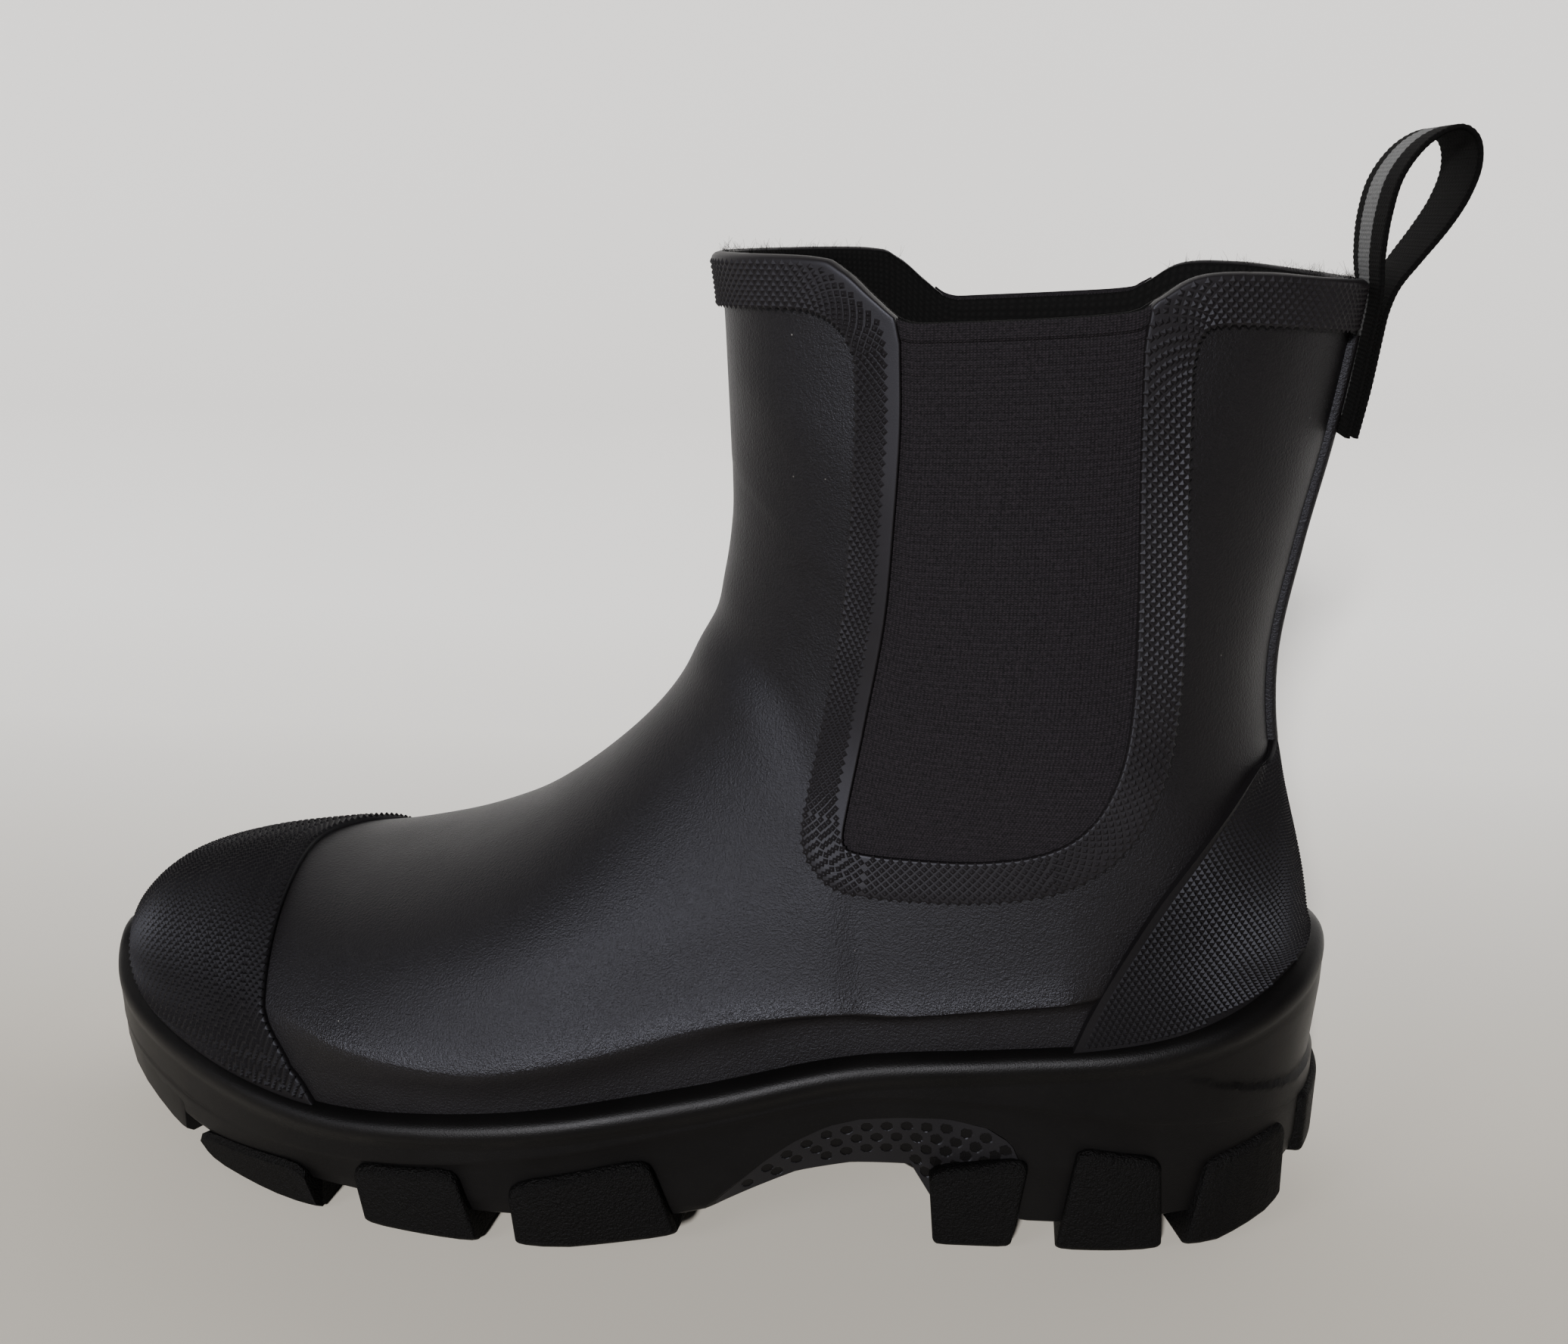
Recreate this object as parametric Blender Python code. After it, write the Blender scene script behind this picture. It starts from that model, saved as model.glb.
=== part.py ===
import math

import bmesh
import bpy
import numpy as np

for item in list(bpy.data.objects):
    bpy.data.objects.remove(item, do_unlink=True)

# Main sizes in millimetres. X runs from the toe (minus) to the heel (plus) and is measured from the
# middle of the sole, the outer (lateral) side of this left boot is minus Y, and Z rises from the floor.
LOOP_REACH = 9.2055
WALL = 2.0
GAP = 0.3
SEAT_GAP = 0.5
OVERLAY = 1.5
CUP_DEPTH = 6.0
FEATHER_INSET = 4.8
INSOLE_THICK = 3.0
GORE_OUT = -0.4
GORE_IN = -1.7
WINDOW_TUCK = 3.5
BAND_WIDE = 8.2
STRIP_HALF = 6.0
STRIP_OUT = 1.9
STRAP_WIDE = 18.0
STRAP_THICK = 1.1
ROW_STEPS = 26
WALL_STEPS = 5
DOME_STEPS = 6
MIDDLE_X = LOOP_REACH / 2

# Plan of the sole: outer and inner edge, and the heights of the bead on top and of the step on the side
PLAN_COLUMNS = ("x", "outer", "inner", "welt", "step")
PLAN = (
    (-142.0, 8.0, 8.0, 38.5, 25.0),
    (-138.5, -4.0, 20.0, 34.5, 22.5),
    (-129.0, -16.0, 31.0, 31.0, 19.5),
    (-113.0, -28.0, 40.5, 28.2, 16.5),
    (-92.0, -39.5, 47.5, 26.2, 14.5),
    (-68.0, -48.0, 52.0, 25.4, 15.0),
    (-42.0, -52.5, 52.7, 27.8, 18.0),
    (-15.0, -52.5, 48.5, 31.2, 22.5),
    (15.0, -48.0, 43.6, 36.2, 28.5),
    (45.0, -43.0, 40.6, 42.6, 34.5),
    (75.0, -40.5, 40.2, 45.2, 34.0),
    (102.0, -38.0, 38.5, 47.8, 31.0),
    (122.0, -31.0, 31.5, 52.0, 30.0),
    (136.0, -18.0, 20.0, 56.8, 30.0),
    (142.0, 1.5, 1.5, 59.0, 30.0),
)

# Height of the tread between the lugs, the face the lugs stand on, and the top of the scooped arch panel
ROOT_LINE = ((-142, 21.0), (-129, 13.5), (-113, 8.6), (-92, 6.2), (-70, 6.0), (8, 6.0), (16, 7.6), (24, 10.6),
             (34, 14.2), (45, 15.8), (57, 15.8), (63, 7.0), (118, 7.0), (142, 15.0))
FLOOR_LINE = ((-142, 17.5), (-129, 9.5), (-113, 4.2), (-98, 1.2), (-82, 0.0), (-14, 0.0), (10, 2.8), (30, 2.8),
              (60, 0.0), (120, 0.0), (131, 3.0), (142, 10.0))
SCOOP_LINE = ((16, 10.0), (28, 20.5), (44, 28.5), (58, 28.5), (68, 24.5), (76, 16.0))
SCOOP_DEEP = 3.0

# Rings of the sole from the tread up to the seat: how far inside the plan, how much of that is scooped at
# the arch and given back at the toe and heel, and the line and height of each
RING_COLUMNS = ("inset", "scooped", "flare", "line", "rise")
RINGS = (
    (10.0, 0.5, 0.0, "root", 0.0),
    (2.4, 1.0, 1.0, "root", 1.0),
    (2.1, 0.9, 1.0, "scoop", -0.8),
    (2.0, 0.0, 1.0, "scoop", 0.0),
    (1.9, 0.0, 1.0, "step", -0.6),
    (1.0, 0.0, 0.5, "step", 0.4),
    (1.2, 0.0, 0.5, "welt", -4.8),
    (0.0, 0.0, 0.0, "welt", -2.8),
    (0.4, 0.0, 0.0, "welt", -0.9),
    (1.7, 0.0, 0.0, "welt", 0.0),
    (3.2, 0.0, 0.0, "welt", -1.2),
    (3.5, 0.0, 0.0, "welt", -CUP_DEPTH),
)
FLARE = 1.8
FLARE_FROM = 112.0
FLARE_TO = 138.0

# Lugs of one side, toe to heel: ends along the sole at the top and at the floor, heights of the top, how far
# the block reaches in and stands proud of the wall, and whether its ends run square across the sole
LUG_COLUMNS = ("top_from", "top_to", "foot_from", "foot_to", "rise_from", "rise_to", "reach", "proud", "square")
LUGS = (
    (-141.9, -109.0, -140.5, -109.5, 24.4, 15.6, 15.0, -0.6, 0),
    (-104.0, -73.0, -101.0, -70.0, 8.5, 11.0, 27.0, 0.0, 1),
    (-60.0, -36.0, -58.0, -32.0, 15.0, 17.5, 40.0, 0.3, 1),
    (-25.0, 4.5, -24.0, 9.5, 15.5, 22.0, 38.0, 0.3, 1),
    (60.6, 80.5, 61.7, 77.5, 18.0, 22.0, 32.4, 0.2, 1),
    (90.0, 107.0, 86.5, 108.5, 25.0, 22.5, 31.0, 0.2, 1),
    (116.5, 133.0, 113.0, 133.5, 20.5, 25.0, 19.0, 0.2, 0),
)
LUG_SWEEP = 0.1

# Tab at the back of the heel
TAB_FROM = 137.2
TAB_ROOT = 126.0
TAB_LOW = 12.6
TAB_HIGH = 27.0
TAB_PROUD = 1.4

# The last, as sections leaning from the sole edge or back seam to the ridge: toe to collar
LAST_COLUMNS = ("base_x", "base_z", "ridge_x", "ridge_z", "ridge_y", "outer", "inner", "wide_at", "round")
LAST = (
    (-137.4, 26.0, -137.4, 26.5, 8.0, 8.0, 8.0, 0.30, 2.0),
    (-135.6, 25.2, -135.8, 40.5, 8.0, 0.0, 16.0, 0.30, 2.0),
    (-130.0, 22.8, -130.5, 48.6, 7.8, -8.6, 24.6, 0.30, 2.0),
    (-120.0, 20.2, -121.0, 55.3, 7.5, -18.6, 32.8, 0.30, 2.1),
    (-105.0, 18.0, -106.0, 59.9, 7.0, -28.8, 39.4, 0.31, 2.1),
    (-88.0, 17.0, -89.0, 62.2, 6.5, -37.6, 44.6, 0.33, 2.15),
    (-69.0, 16.4, -70.0, 64.3, 6.0, -44.2, 48.0, 0.36, 2.15),
    (-46.0, 18.2, -50.0, 69.5, 5.5, -48.4, 48.6, 0.36, 2.1),
    (-18.0, 21.8, -30.0, 79.2, 5.0, -48.9, 45.4, 0.34, 2.0),
    (14.0, 27.0, -12.2, 92.6, 4.0, -44.6, 39.6, 0.32, 1.95),
    (48.0, 34.0, 0.8, 106.2, 3.0, -40.2, 37.0, 0.28, 1.95),
    (82.0, 37.0, 9.0, 120.6, 2.0, -38.4, 37.2, 0.28, 2.0),
    (112.0, 40.8, 13.6, 134.0, 1.2, -37.4, 37.0, 0.33, 2.05),
    (130.5, 46.0, 15.6, 146.0, 0.8, -37.0, 37.0, 0.42, 2.1),
    (137.6, 50.0, 15.9, 155.5, 0.6, -37.0, 37.0, 0.46, 2.15),
    (138.0, 60.0, 15.8, 159.2, 0.6, -36.9, 36.9, 0.47, 2.2),
    (134.7, 75.0, 15.7, 163.6, 0.5, -36.8, 36.8, 0.48, 2.2),
    (127.2, 97.0, 15.6, 170.0, 0.4, -36.6, 36.6, 0.49, 2.2),
    (124.6, 119.0, 15.5, 177.0, 0.2, -36.6, 36.6, 0.50, 2.25),
    (127.2, 142.0, 15.3, 184.0, 0.1, -36.8, 36.8, 0.50, 2.25),
    (130.8, 163.0, 14.9, 190.5, 0.0, -37.0, 37.0, 0.50, 2.25),
    (133.4, 183.0, 13.9, 198.0, 0.0, -37.2, 37.2, 0.50, 2.25),
    (135.4, 202.0, 12.6, 207.0, 0.0, -37.2, 37.2, 0.50, 2.25),
)
HEEL_ROW = 14

# Side-view lines: top edge of the collar, edge of the elastic gore, edges of the toe cap and heel counter
COLLAR_LINE = ((4, 197.2), (34, 197.0), (41, 195.0), (47, 190.2), (52, 186.8), (60, 186.6), (88, 188.0),
               (94, 189.8), (101, 193.6), (112, 193.9), (124, 192.6), (140, 190.6))
BAND_FRONT = ((4, 187.4), (18, 187.9), (32, 188.2), (37, 187.4), (40.6, 185.2), (42.8, 181.0))
BAND_BACK = ((100.8, 179.0), (101.6, 183.6), (104.5, 185.6), (116, 185.0), (128, 183.4), (142, 181.2))
GORE_EDGE = ((51.5, 196.0), (51.8, 182.0), (52.0, 168.0), (51.0, 150.0), (49.4, 132.0), (46.0, 113.0),
             (43.0, 96.0), (43.6, 88.6), (50.5, 85.8), (69.0, 86.2), (82.0, 88.4), (90.0, 93.4), (94.2, 102.5),
             (95.2, 116.0), (94.6, 136.0), (93.4, 160.0), (92.6, 182.0), (92.6, 196.0))
COUNTER_EDGE = ((86.0, 40.0), (87.6, 45.5), (91.0, 55.5), (96.2, 67.0), (102.8, 79.2), (109.4, 88.6),
                (115.2, 95.2), (121.2, 100.6), (128.0, 102.6), (150.0, 103.2))
CAP_COLUMNS = ("along", "x")
CAP_EDGE = ((0.0, -63.0), (0.12, -69.5), (0.24, -78.0), (0.32, -83.5), (0.39, -86.0), (0.44, -85.8),
            (0.475, -83.0), (0.5, -78.5))
CAP_ROWS = 9
CAP_COLUMNS_COUNT = 22
COLLAR_STEP = 6.0
FAR = 80.0
SIDE = 37.0
GORE_LEAN = 0.074

# Pull loop seen from the side, first the layer on the boot, up round the loop and down over it again
LOOP_PATH = ((133.6, 163.4), (134.9, 172.0), (135.9, 181.0), (136.5, 187.0), (136.4, 191.0), (135.8, 196.0),
             (135.9, 203.0), (137.3, 209.8), (141.0, 215.2), (145.8, 217.6), (149.0, 215.7), (149.9, 211.2),
             (148.6, 206.0), (146.0, 201.0), (142.1, 195.2), (139.3, 190.8), (138.0, 186.5), (137.4, 181.5),
             (136.4, 172.3), (135.05, 163.4))
LOOP_TWIST = 5.0
LOOP_STEPS = 42

BLACK = (0.018, 0.018, 0.021)
COAL = (0.012, 0.012, 0.013)
FABRIC = (0.020, 0.018, 0.019)
WEBBING = (0.014, 0.014, 0.015)


def spline(rows, at, mirrored=None):
    """Smooth values of a table of rows at row positions; mirrored swaps columns past the ends."""
    rows = np.asarray(rows, float)
    if mirrored is None:
        before = 2 * rows[0] - rows[1]
        after = 2 * rows[-1] - rows[-2]
    else:
        before = rows[1][list(mirrored)]
        after = rows[-2][list(mirrored)]
    rows = np.vstack([before, rows, after])
    at = np.clip(np.asarray(at, float), 0, len(rows) - 3)
    first = np.minimum(at.astype(int), len(rows) - 4)
    t = (at - first)[..., None]
    a, b, c, d = (rows[first + k] for k in range(4))
    return 0.5 * (2 * b + (c - a) * t + (2 * a - 5 * b + 4 * c - d) * t**2 + (3 * b - a - 3 * c + d) * t**3)


def curve(points, steps):
    """A smooth polyline through points, with this many steps between each two."""
    return spline(points, np.linspace(0, len(points) - 1, steps * (len(points) - 1) + 1))


def line(table, x):
    """Height of a side-view line at x, eased between its points."""
    dense = curve(table, 20)
    return np.interp(x, dense[:, 0], dense[:, 1])


def straight(table, x):
    xs, zs = np.array(table, float).T
    return np.interp(x, xs, zs)


PLAN_SWAP = (0, 2, 1, 3, 4)
PLAN_DENSE = spline(PLAN, np.linspace(0, len(PLAN) - 1, 900), PLAN_SWAP)


def edge_points(inset, sign, at):
    """Points of the plan, moved in by inset along its normal, on the outer (-1) or inner (1) side."""
    side = 1 if sign < 0 else 2
    step = 1e-3
    here = spline(PLAN, at, PLAN_SWAP)
    ahead = spline(PLAN, np.minimum(at + step, len(PLAN) - 1), PLAN_SWAP)
    behind = spline(PLAN, np.maximum(at - step, 0), PLAN_SWAP)
    run = (ahead - behind)[:, [0, side]]
    run /= np.linalg.norm(run, axis=1)[:, None]
    inward = np.stack([run[:, 1], -run[:, 0]], 1) * sign
    inward[at <= 0] = (1, 0)
    inward[at >= len(PLAN) - 1] = (-1, 0)
    points = here[:, [0, side]] + inward * np.asarray(inset)[..., None]
    return points, here


def plan_at(x):
    """Row position in the plan table of a place along the sole."""
    return np.interp(x, PLAN_DENSE[:, 0], np.linspace(0, len(PLAN) - 1, len(PLAN_DENSE)))


def welt(x):
    """Height of the bead, by the place along the sole of its inner edge."""
    at = np.linspace(0, len(PLAN) - 1, len(PLAN_DENSE))
    heights = []
    for sign in (-1, 1):
        points, rows = edge_points(RINGS[-1][0], sign, at)
        heights.append(np.interp(x, points[:, 0], rows[:, 3]))
    return np.maximum(*heights)


def material(name, colour, roughness):
    made = bpy.data.materials.new(name)
    made.use_nodes = True
    shader = made.node_tree.nodes["Principled BSDF"]
    shader.inputs["Base Color"].default_value = (*colour, 1)
    shader.inputs["Roughness"].default_value = roughness
    shader.inputs["Metallic"].default_value = 0.0
    return made


def solid(name, points, faces):
    """A closed mesh object from points in millimetres, welded and facing out."""
    mesh = bpy.data.meshes.new(name)
    shifted = (np.asarray(points, float) - (MIDDLE_X, 0, 0)) / 1000
    mesh.from_pydata(shifted.tolist(), [], faces)
    work = bmesh.new()
    work.from_mesh(mesh)
    bmesh.ops.remove_doubles(work, verts=work.verts, dist=1e-7)
    bmesh.ops.dissolve_degenerate(work, edges=work.edges, dist=1e-7)
    bmesh.ops.recalc_face_normals(work, faces=work.faces)
    work.to_mesh(mesh)
    work.free()
    made = bpy.data.objects.new(name, mesh)
    bpy.context.scene.collection.objects.link(made)
    return made


def combine(target, other, operation):
    """Applies a Boolean of target with other, and removes other."""
    modifier = target.modifiers.new("join", "BOOLEAN")
    modifier.operation = operation
    modifier.solver = "EXACT"
    modifier.object = other
    bpy.context.view_layer.update()
    shaped = target.evaluated_get(bpy.context.evaluated_depsgraph_get())
    mesh = bpy.data.meshes.new_from_object(shaped)
    target.modifiers.clear()
    target.data = mesh
    bpy.data.objects.remove(other, do_unlink=True)
    return target


def prism(outline, y_from, y_to, lean=0.0):
    """A side-view outline, as it is on the outer side, drawn out across the boot with a lean to the back."""
    outline = np.asarray(outline, float)
    count = len(outline)
    ends = [np.column_stack([outline[:, 0] + lean * (y + SIDE), np.full(count, y), outline[:, 1]])
            for y in (y_from, y_to)]
    around = [(k, (k + 1) % count, count + (k + 1) % count, count + k) for k in range(count)]
    caps = [tuple(range(count)), tuple(range(count, 2 * count))]
    return solid("cutter", np.vstack(ends), around + caps)


def section_point(row, along):
    """Points of last sections: row values by column, along from the outer base (0) over the ridge (0.5)."""
    value = {name: row[..., k] for k, name in enumerate(LAST_COLUMNS + ("base_outer", "base_inner"))}
    sign = np.where(along < 0.5, -1.0, 1.0)
    half = 1 - np.abs(2 * along - 1)
    wide = np.where(sign < 0, value["outer"], value["inner"])
    base = np.where(sign < 0, value["base_outer"], value["base_inner"])
    middle = (value["base_outer"] + value["base_inner"]) / 2
    wide_half = np.maximum(np.abs(wide - middle), 1e-6)
    base_half = np.minimum(np.abs(base - middle), 0.999 * wide_half)
    start = np.arcsin(base_half / wide_half)
    share = WALL_STEPS / (WALL_STEPS + DOME_STEPS)
    lower = half < share
    turn = start + (math.pi / 2 - start) * np.clip(half / share, 0, 1)
    rise = np.clip((half - share) / (1 - share), 0, 1) * math.pi / 2
    power = 2 / value["round"]
    wide_y = middle + sign * wide_half
    y_lower = middle + sign * wide_half * np.sin(turn)
    a_lower = value["wide_at"] * (1 - np.cos(turn) / np.cos(start))
    y_upper = value["ridge_y"] + (wide_y - value["ridge_y"]) * np.maximum(np.cos(rise), 0) ** power
    a_upper = value["wide_at"] + (1 - value["wide_at"]) * np.sin(rise) ** power
    y = np.where(lower, y_lower, y_upper)
    a = np.where(lower, a_lower, a_upper)
    x = value["base_x"] + a * (value["ridge_x"] - value["base_x"])
    z = value["base_z"] + a * (value["ridge_z"] - value["base_z"])
    return np.stack([x, y, z], -1)


FEATHER = np.linspace(0, len(PLAN) - 1, 600)
FEATHER_OUT, _ = edge_points(FEATHER_INSET, -1, FEATHER)
FEATHER_IN, _ = edge_points(FEATHER_INSET, 1, FEATHER)


def last_row(at):
    """Values of the last at row positions: round at the toe, so its tip columns turn over there."""
    rows = np.asarray(LAST, float)
    tip = 2 * rows[0] - rows[1]
    tip[[0, 1, 2]] = rows[1][[0, 1, 2]]
    values = spline(np.vstack([tip, rows]), np.asarray(at) + 1)
    top = len(LAST) - 1
    at = np.asarray(at, float)
    seam = at >= HEEL_ROW
    heel_y = PLAN[-1][1] * np.clip((top - at) / (top - HEEL_ROW), 0, 1)
    values[..., 0] = np.where(seam, values[..., 0], np.minimum(values[..., 0], LAST[HEEL_ROW][0]))
    outer = np.where(seam, heel_y, np.interp(values[..., 0], FEATHER_OUT[:, 0], FEATHER_OUT[:, 1]))
    inner = np.where(seam, heel_y, np.interp(values[..., 0], FEATHER_IN[:, 0], FEATHER_IN[:, 1]))
    return np.concatenate([values, outer[..., None], inner[..., None]], -1)


def surface(at, along):
    """Points and outward normals of the last at grids of row position and place along the section."""
    step = 2e-3
    points = section_point(last_row(at), along)
    top = len(LAST) - 1
    by_row = section_point(last_row(np.minimum(at + step, top)), along)
    by_row = by_row - section_point(last_row(np.maximum(at - step, 0.02)), along)
    by_along = section_point(last_row(at), np.minimum(along + step, 1))
    by_along = by_along - section_point(last_row(at), np.maximum(along - step, 0))
    normals = np.cross(by_row, by_along)
    length = np.linalg.norm(normals, axis=-1, keepdims=True)
    normals = normals / np.maximum(length, 1e-9)
    seam = (at >= HEEL_ROW) & ((along <= 0) | (along >= 1))
    normals[seam, 1] = 0
    normals[at <= 0] = (-1, 0, 0)
    return points, normals / np.maximum(np.linalg.norm(normals, axis=-1, keepdims=True), 1e-9)


def form(offset):
    """The closed body inside the last moved out by offset, running past the collar and the sole edge."""
    count = 2 * (WALL_STEPS + DOME_STEPS) + 1
    rows = np.concatenate([[0.0], np.linspace(0.7, HEEL_ROW, ROW_STEPS * 2 // 3)])
    rows = np.concatenate([rows, np.linspace(HEEL_ROW, len(LAST) - 1, ROW_STEPS // 3 + 1)[1:]])
    at, along = np.meshgrid(rows, np.linspace(0, 1, count), indexing="ij")
    points = section_point(last_row(at), along)
    tilt = np.cross(points[1:, 1:] - points[:-1, :-1], points[:-1, 1:] - points[1:, :-1])
    normals = np.zeros_like(points)
    normals[:-1, :-1] += tilt
    normals[1:, :-1] += tilt
    normals[:-1, 1:] += tilt
    normals[1:, 1:] += tilt
    seam = rows >= HEEL_ROW
    normals[seam, 0] += normals[seam, -1]
    normals[seam, -1] = normals[seam, 0]
    normals[0] = normals[0].sum(axis=0)
    normals /= np.linalg.norm(normals, axis=-1, keepdims=True)
    points = (points + normals * offset).reshape(-1, 3)
    faces = []
    for i in range(len(rows) - 1):
        for j in range(count - 1):
            corner = i * count + j
            faces.append((corner, corner + 1, corner + count + 1))
            faces.append((corner, corner + count + 1, corner + count))
        faces.append((i * count, (i + 1) * count, (i + 2) * count - 1, (i + 1) * count - 1))
    faces.append(tuple(range((len(rows) - 1) * count, len(rows) * count)))
    return solid("form", points, faces)


def shell(outside, inside, *areas):
    """The part of the wall between two offsets that lies inside all of these prisms."""
    made = form(outside)
    for area in areas:
        combine(made, area, "INTERSECT")
    return combine(made, form(inside), "DIFFERENCE")


def collar(x_from, x_to, lower=0.0):
    xs = np.linspace(x_from, x_to, max(4, int((x_to - x_from) / COLLAR_STEP)))
    return np.column_stack([xs, line(COLLAR_LINE, xs) - lower])


def seat_line(rise, x_from=-160, x_to=160):
    xs = np.linspace(x_from, x_to, 50)
    return np.column_stack([xs, welt(xs) + rise])


def moved_out(points, distance):
    """An open side-view curve moved sideways, away from the gore for a positive distance."""
    run = np.gradient(points, axis=0)
    run /= np.linalg.norm(run, axis=1)[:, None]
    return points + np.column_stack([run[:, 1], -run[:, 0]]) * distance


def gore_outline(grow):
    """Edge of the gore in side view, made larger all round."""
    return moved_out(curve(GORE_EDGE, 2), grow)


def finish(made, name, look):
    made.name = name
    made.data.name = name
    made.data.materials.clear()
    made.data.materials.append(look)
    return made


# Looks of the rubber, fabric and webbing
upper_look = material("upper_rubber", BLACK, 0.45)
trim_look = material("trim_rubber", COAL, 0.5)
sole_look = material("sole_rubber", COAL, 0.4)
gore_look = material("gore_elastic", FABRIC, 0.9)
strap_look = material("webbing", WEBBING, 0.85)
insole_look = material("insole_foam", FABRIC, 0.9)


def sole_ring(inset, scooped, flare, rule, rise, at):
    """One ring round the sole: outer side toe to heel, then inner side."""
    x = spline(PLAN, at, PLAN_SWAP)[:, 0]
    bump = np.clip((x - SCOOP_LINE[0][0]) / (SCOOP_LINE[-1][0] - SCOOP_LINE[0][0]), 0, 1)
    ends = np.clip((np.abs(x) - FLARE_FROM) / (FLARE_TO - FLARE_FROM), 0, 1)
    inset = inset + scooped * SCOOP_DEEP * np.sin(math.pi * bump) ** 0.7 - flare * FLARE * ends
    root = straight(ROOT_LINE, x)
    heights = {
        "root": root,
        "scoop": np.maximum(root + 2.4, straight(SCOOP_LINE, x)),
        "step": spline(PLAN, at, PLAN_SWAP)[:, 4],
        "welt": spline(PLAN, at, PLAN_SWAP)[:, 3],
    }
    sides = []
    for sign in (-1, 1):
        points, _ = edge_points(inset, sign, at)
        sides.append(np.column_stack([points, heights[rule] + rise]))
    return np.vstack(sides)


def sole_body():
    at = np.linspace(0, len(PLAN) - 1, 37)
    at = np.unique(np.concatenate([at, plan_at(np.array([24.0, 57.0, 63.0]))]))
    count = len(at)
    rings = [sole_ring(*ring, at) for ring in RINGS]
    points = np.vstack(rings)
    faces = []
    for level in range(len(rings) - 1):
        for side in (0, count):
            low = 2 * count * level + side
            for k in range(count - 1):
                faces.append((low + k, low + k + 1, low + 2 * count + k + 1, low + 2 * count + k))
    for low in (0, 2 * count * (len(rings) - 1)):
        for k in range(count - 1):
            faces.append((low + k, low + k + 1, low + count + k + 1, low + count + k))
    return solid("sole", points, faces)


def lug(row, sign):
    """A block of the tread that wraps up the side wall as a pad."""
    value = dict(zip(LUG_COLUMNS, row))
    share = np.linspace(0, 1, 4)
    reach = value["reach"]
    proud = value["proud"]
    top = value["rise_from"] + share * (value["rise_to"] - value["rise_from"])
    middle_x = value["foot_from"] + share * (value["foot_to"] - value["foot_from"])
    floor = straight(FLOOR_LINE, middle_x)
    root = straight(ROOT_LINE, middle_x)
    corners = (
        (1.8 - proud, floor, 0.0),
        (0.2 - proud, floor + 1.5, 0.1),
        (-proud + 0.3, top - 1.3, 0.9),
        (1.2, top, 1.0),
        (5.0, top - 0.4, 1.0),
        (5.0, np.minimum(root + 4.0, top - 1.0), 0.6),
        (reach, np.minimum(root + 4.0, top - 1.0), 0.6),
        (reach, floor, 0.0),
    )
    rings = []
    for inset, z, lean in corners:
        first = value["foot_from"] + lean * (value["top_from"] - value["foot_from"])
        last = value["foot_to"] + lean * (value["top_to"] - value["foot_to"])
        x = first + share * (last - first)
        points, _ = edge_points(inset, sign, plan_at(x))
        if value["square"] and inset == reach:
            points[:, 0] = x + LUG_SWEEP * reach * share
        rings.append(np.column_stack([points, z + 0 * share]))
    count = len(share)
    faces = []
    for k in range(len(rings)):
        low = k * count
        up = (k + 1) % len(rings) * count
        for j in range(count - 1):
            faces.append((low + j, low + j + 1, up + j + 1, up + j))
    faces.append(tuple(k * count for k in range(len(rings))))
    faces.append(tuple(k * count + count - 1 for k in range(len(rings))))
    return solid("lug", np.vstack(rings), faces)


def heel_tab():
    """An upright pad round the back of the heel."""
    at = np.linspace(plan_at(TAB_FROM), len(PLAN) - 1, 7)
    outer, _ = edge_points(np.full(len(at), -TAB_PROUD), -1, at)
    inner, _ = edge_points(np.full(len(at) - 1, -TAB_PROUD), 1, at[:-1])
    rim = np.vstack([outer, inner[::-1]])
    rim = np.vstack([rim, [(TAB_ROOT, rim[-1, 1]), (TAB_ROOT, rim[0, 1])]])
    count = len(rim)
    levels = [np.column_stack([rim, np.full(count, z)]) for z in (TAB_LOW, TAB_HIGH)]
    faces = [(k, (k + 1) % count, count + (k + 1) % count, count + k) for k in range(count)]
    faces += [tuple(range(count)), tuple(range(count, 2 * count))]
    return solid("tab", np.vstack(levels), faces)


# Sole: a cupped rubber unit with a bead round the top, scooped arch panels and lugs that wrap up its sides
sole = sole_body()
for lug_row in LUGS:
    for lug_sign in (-1, 1):
        combine(sole, lug(lug_row, lug_sign), "UNION")
combine(sole, heel_tab(), "UNION")
finish(sole, "sole", sole_look)

# Upper: one moulded wall, open at the collar, at both gore windows and underneath
below_collar = np.vstack([collar(-10, 160), [(180, 190), (180, -10), (-180, -10), (-180, 150), (-30, 150)]])
above_seat = np.vstack([seat_line(SEAT_GAP - CUP_DEPTH), [(160, 250), (-160, 250)]])
upper = shell(0.0, -WALL, prism(below_collar, -FAR, FAR, GORE_LEAN), prism(above_seat, -FAR, FAR))
combine(upper, prism(gore_outline(WINDOW_TUCK), -FAR, FAR, GORE_LEAN), "DIFFERENCE")
finish(upper, "upper", upper_look)

# Gores: an elastic panel in each window, its edges under the trim
for gore_name, y_from, y_to in (("gore_lateral", -FAR, 0), ("gore_medial", 0, FAR)):
    lid = np.vstack([collar(20, 120, 0.4), [(120, 20), (20, 20)]])
    panel = prism(gore_outline(WINDOW_TUCK - GAP), y_from, y_to, GORE_LEAN)
    gore = shell(GORE_OUT, GORE_IN, prism(lid, -FAR, FAR, GORE_LEAN), panel)
    finish(gore, gore_name, gore_look)

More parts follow.
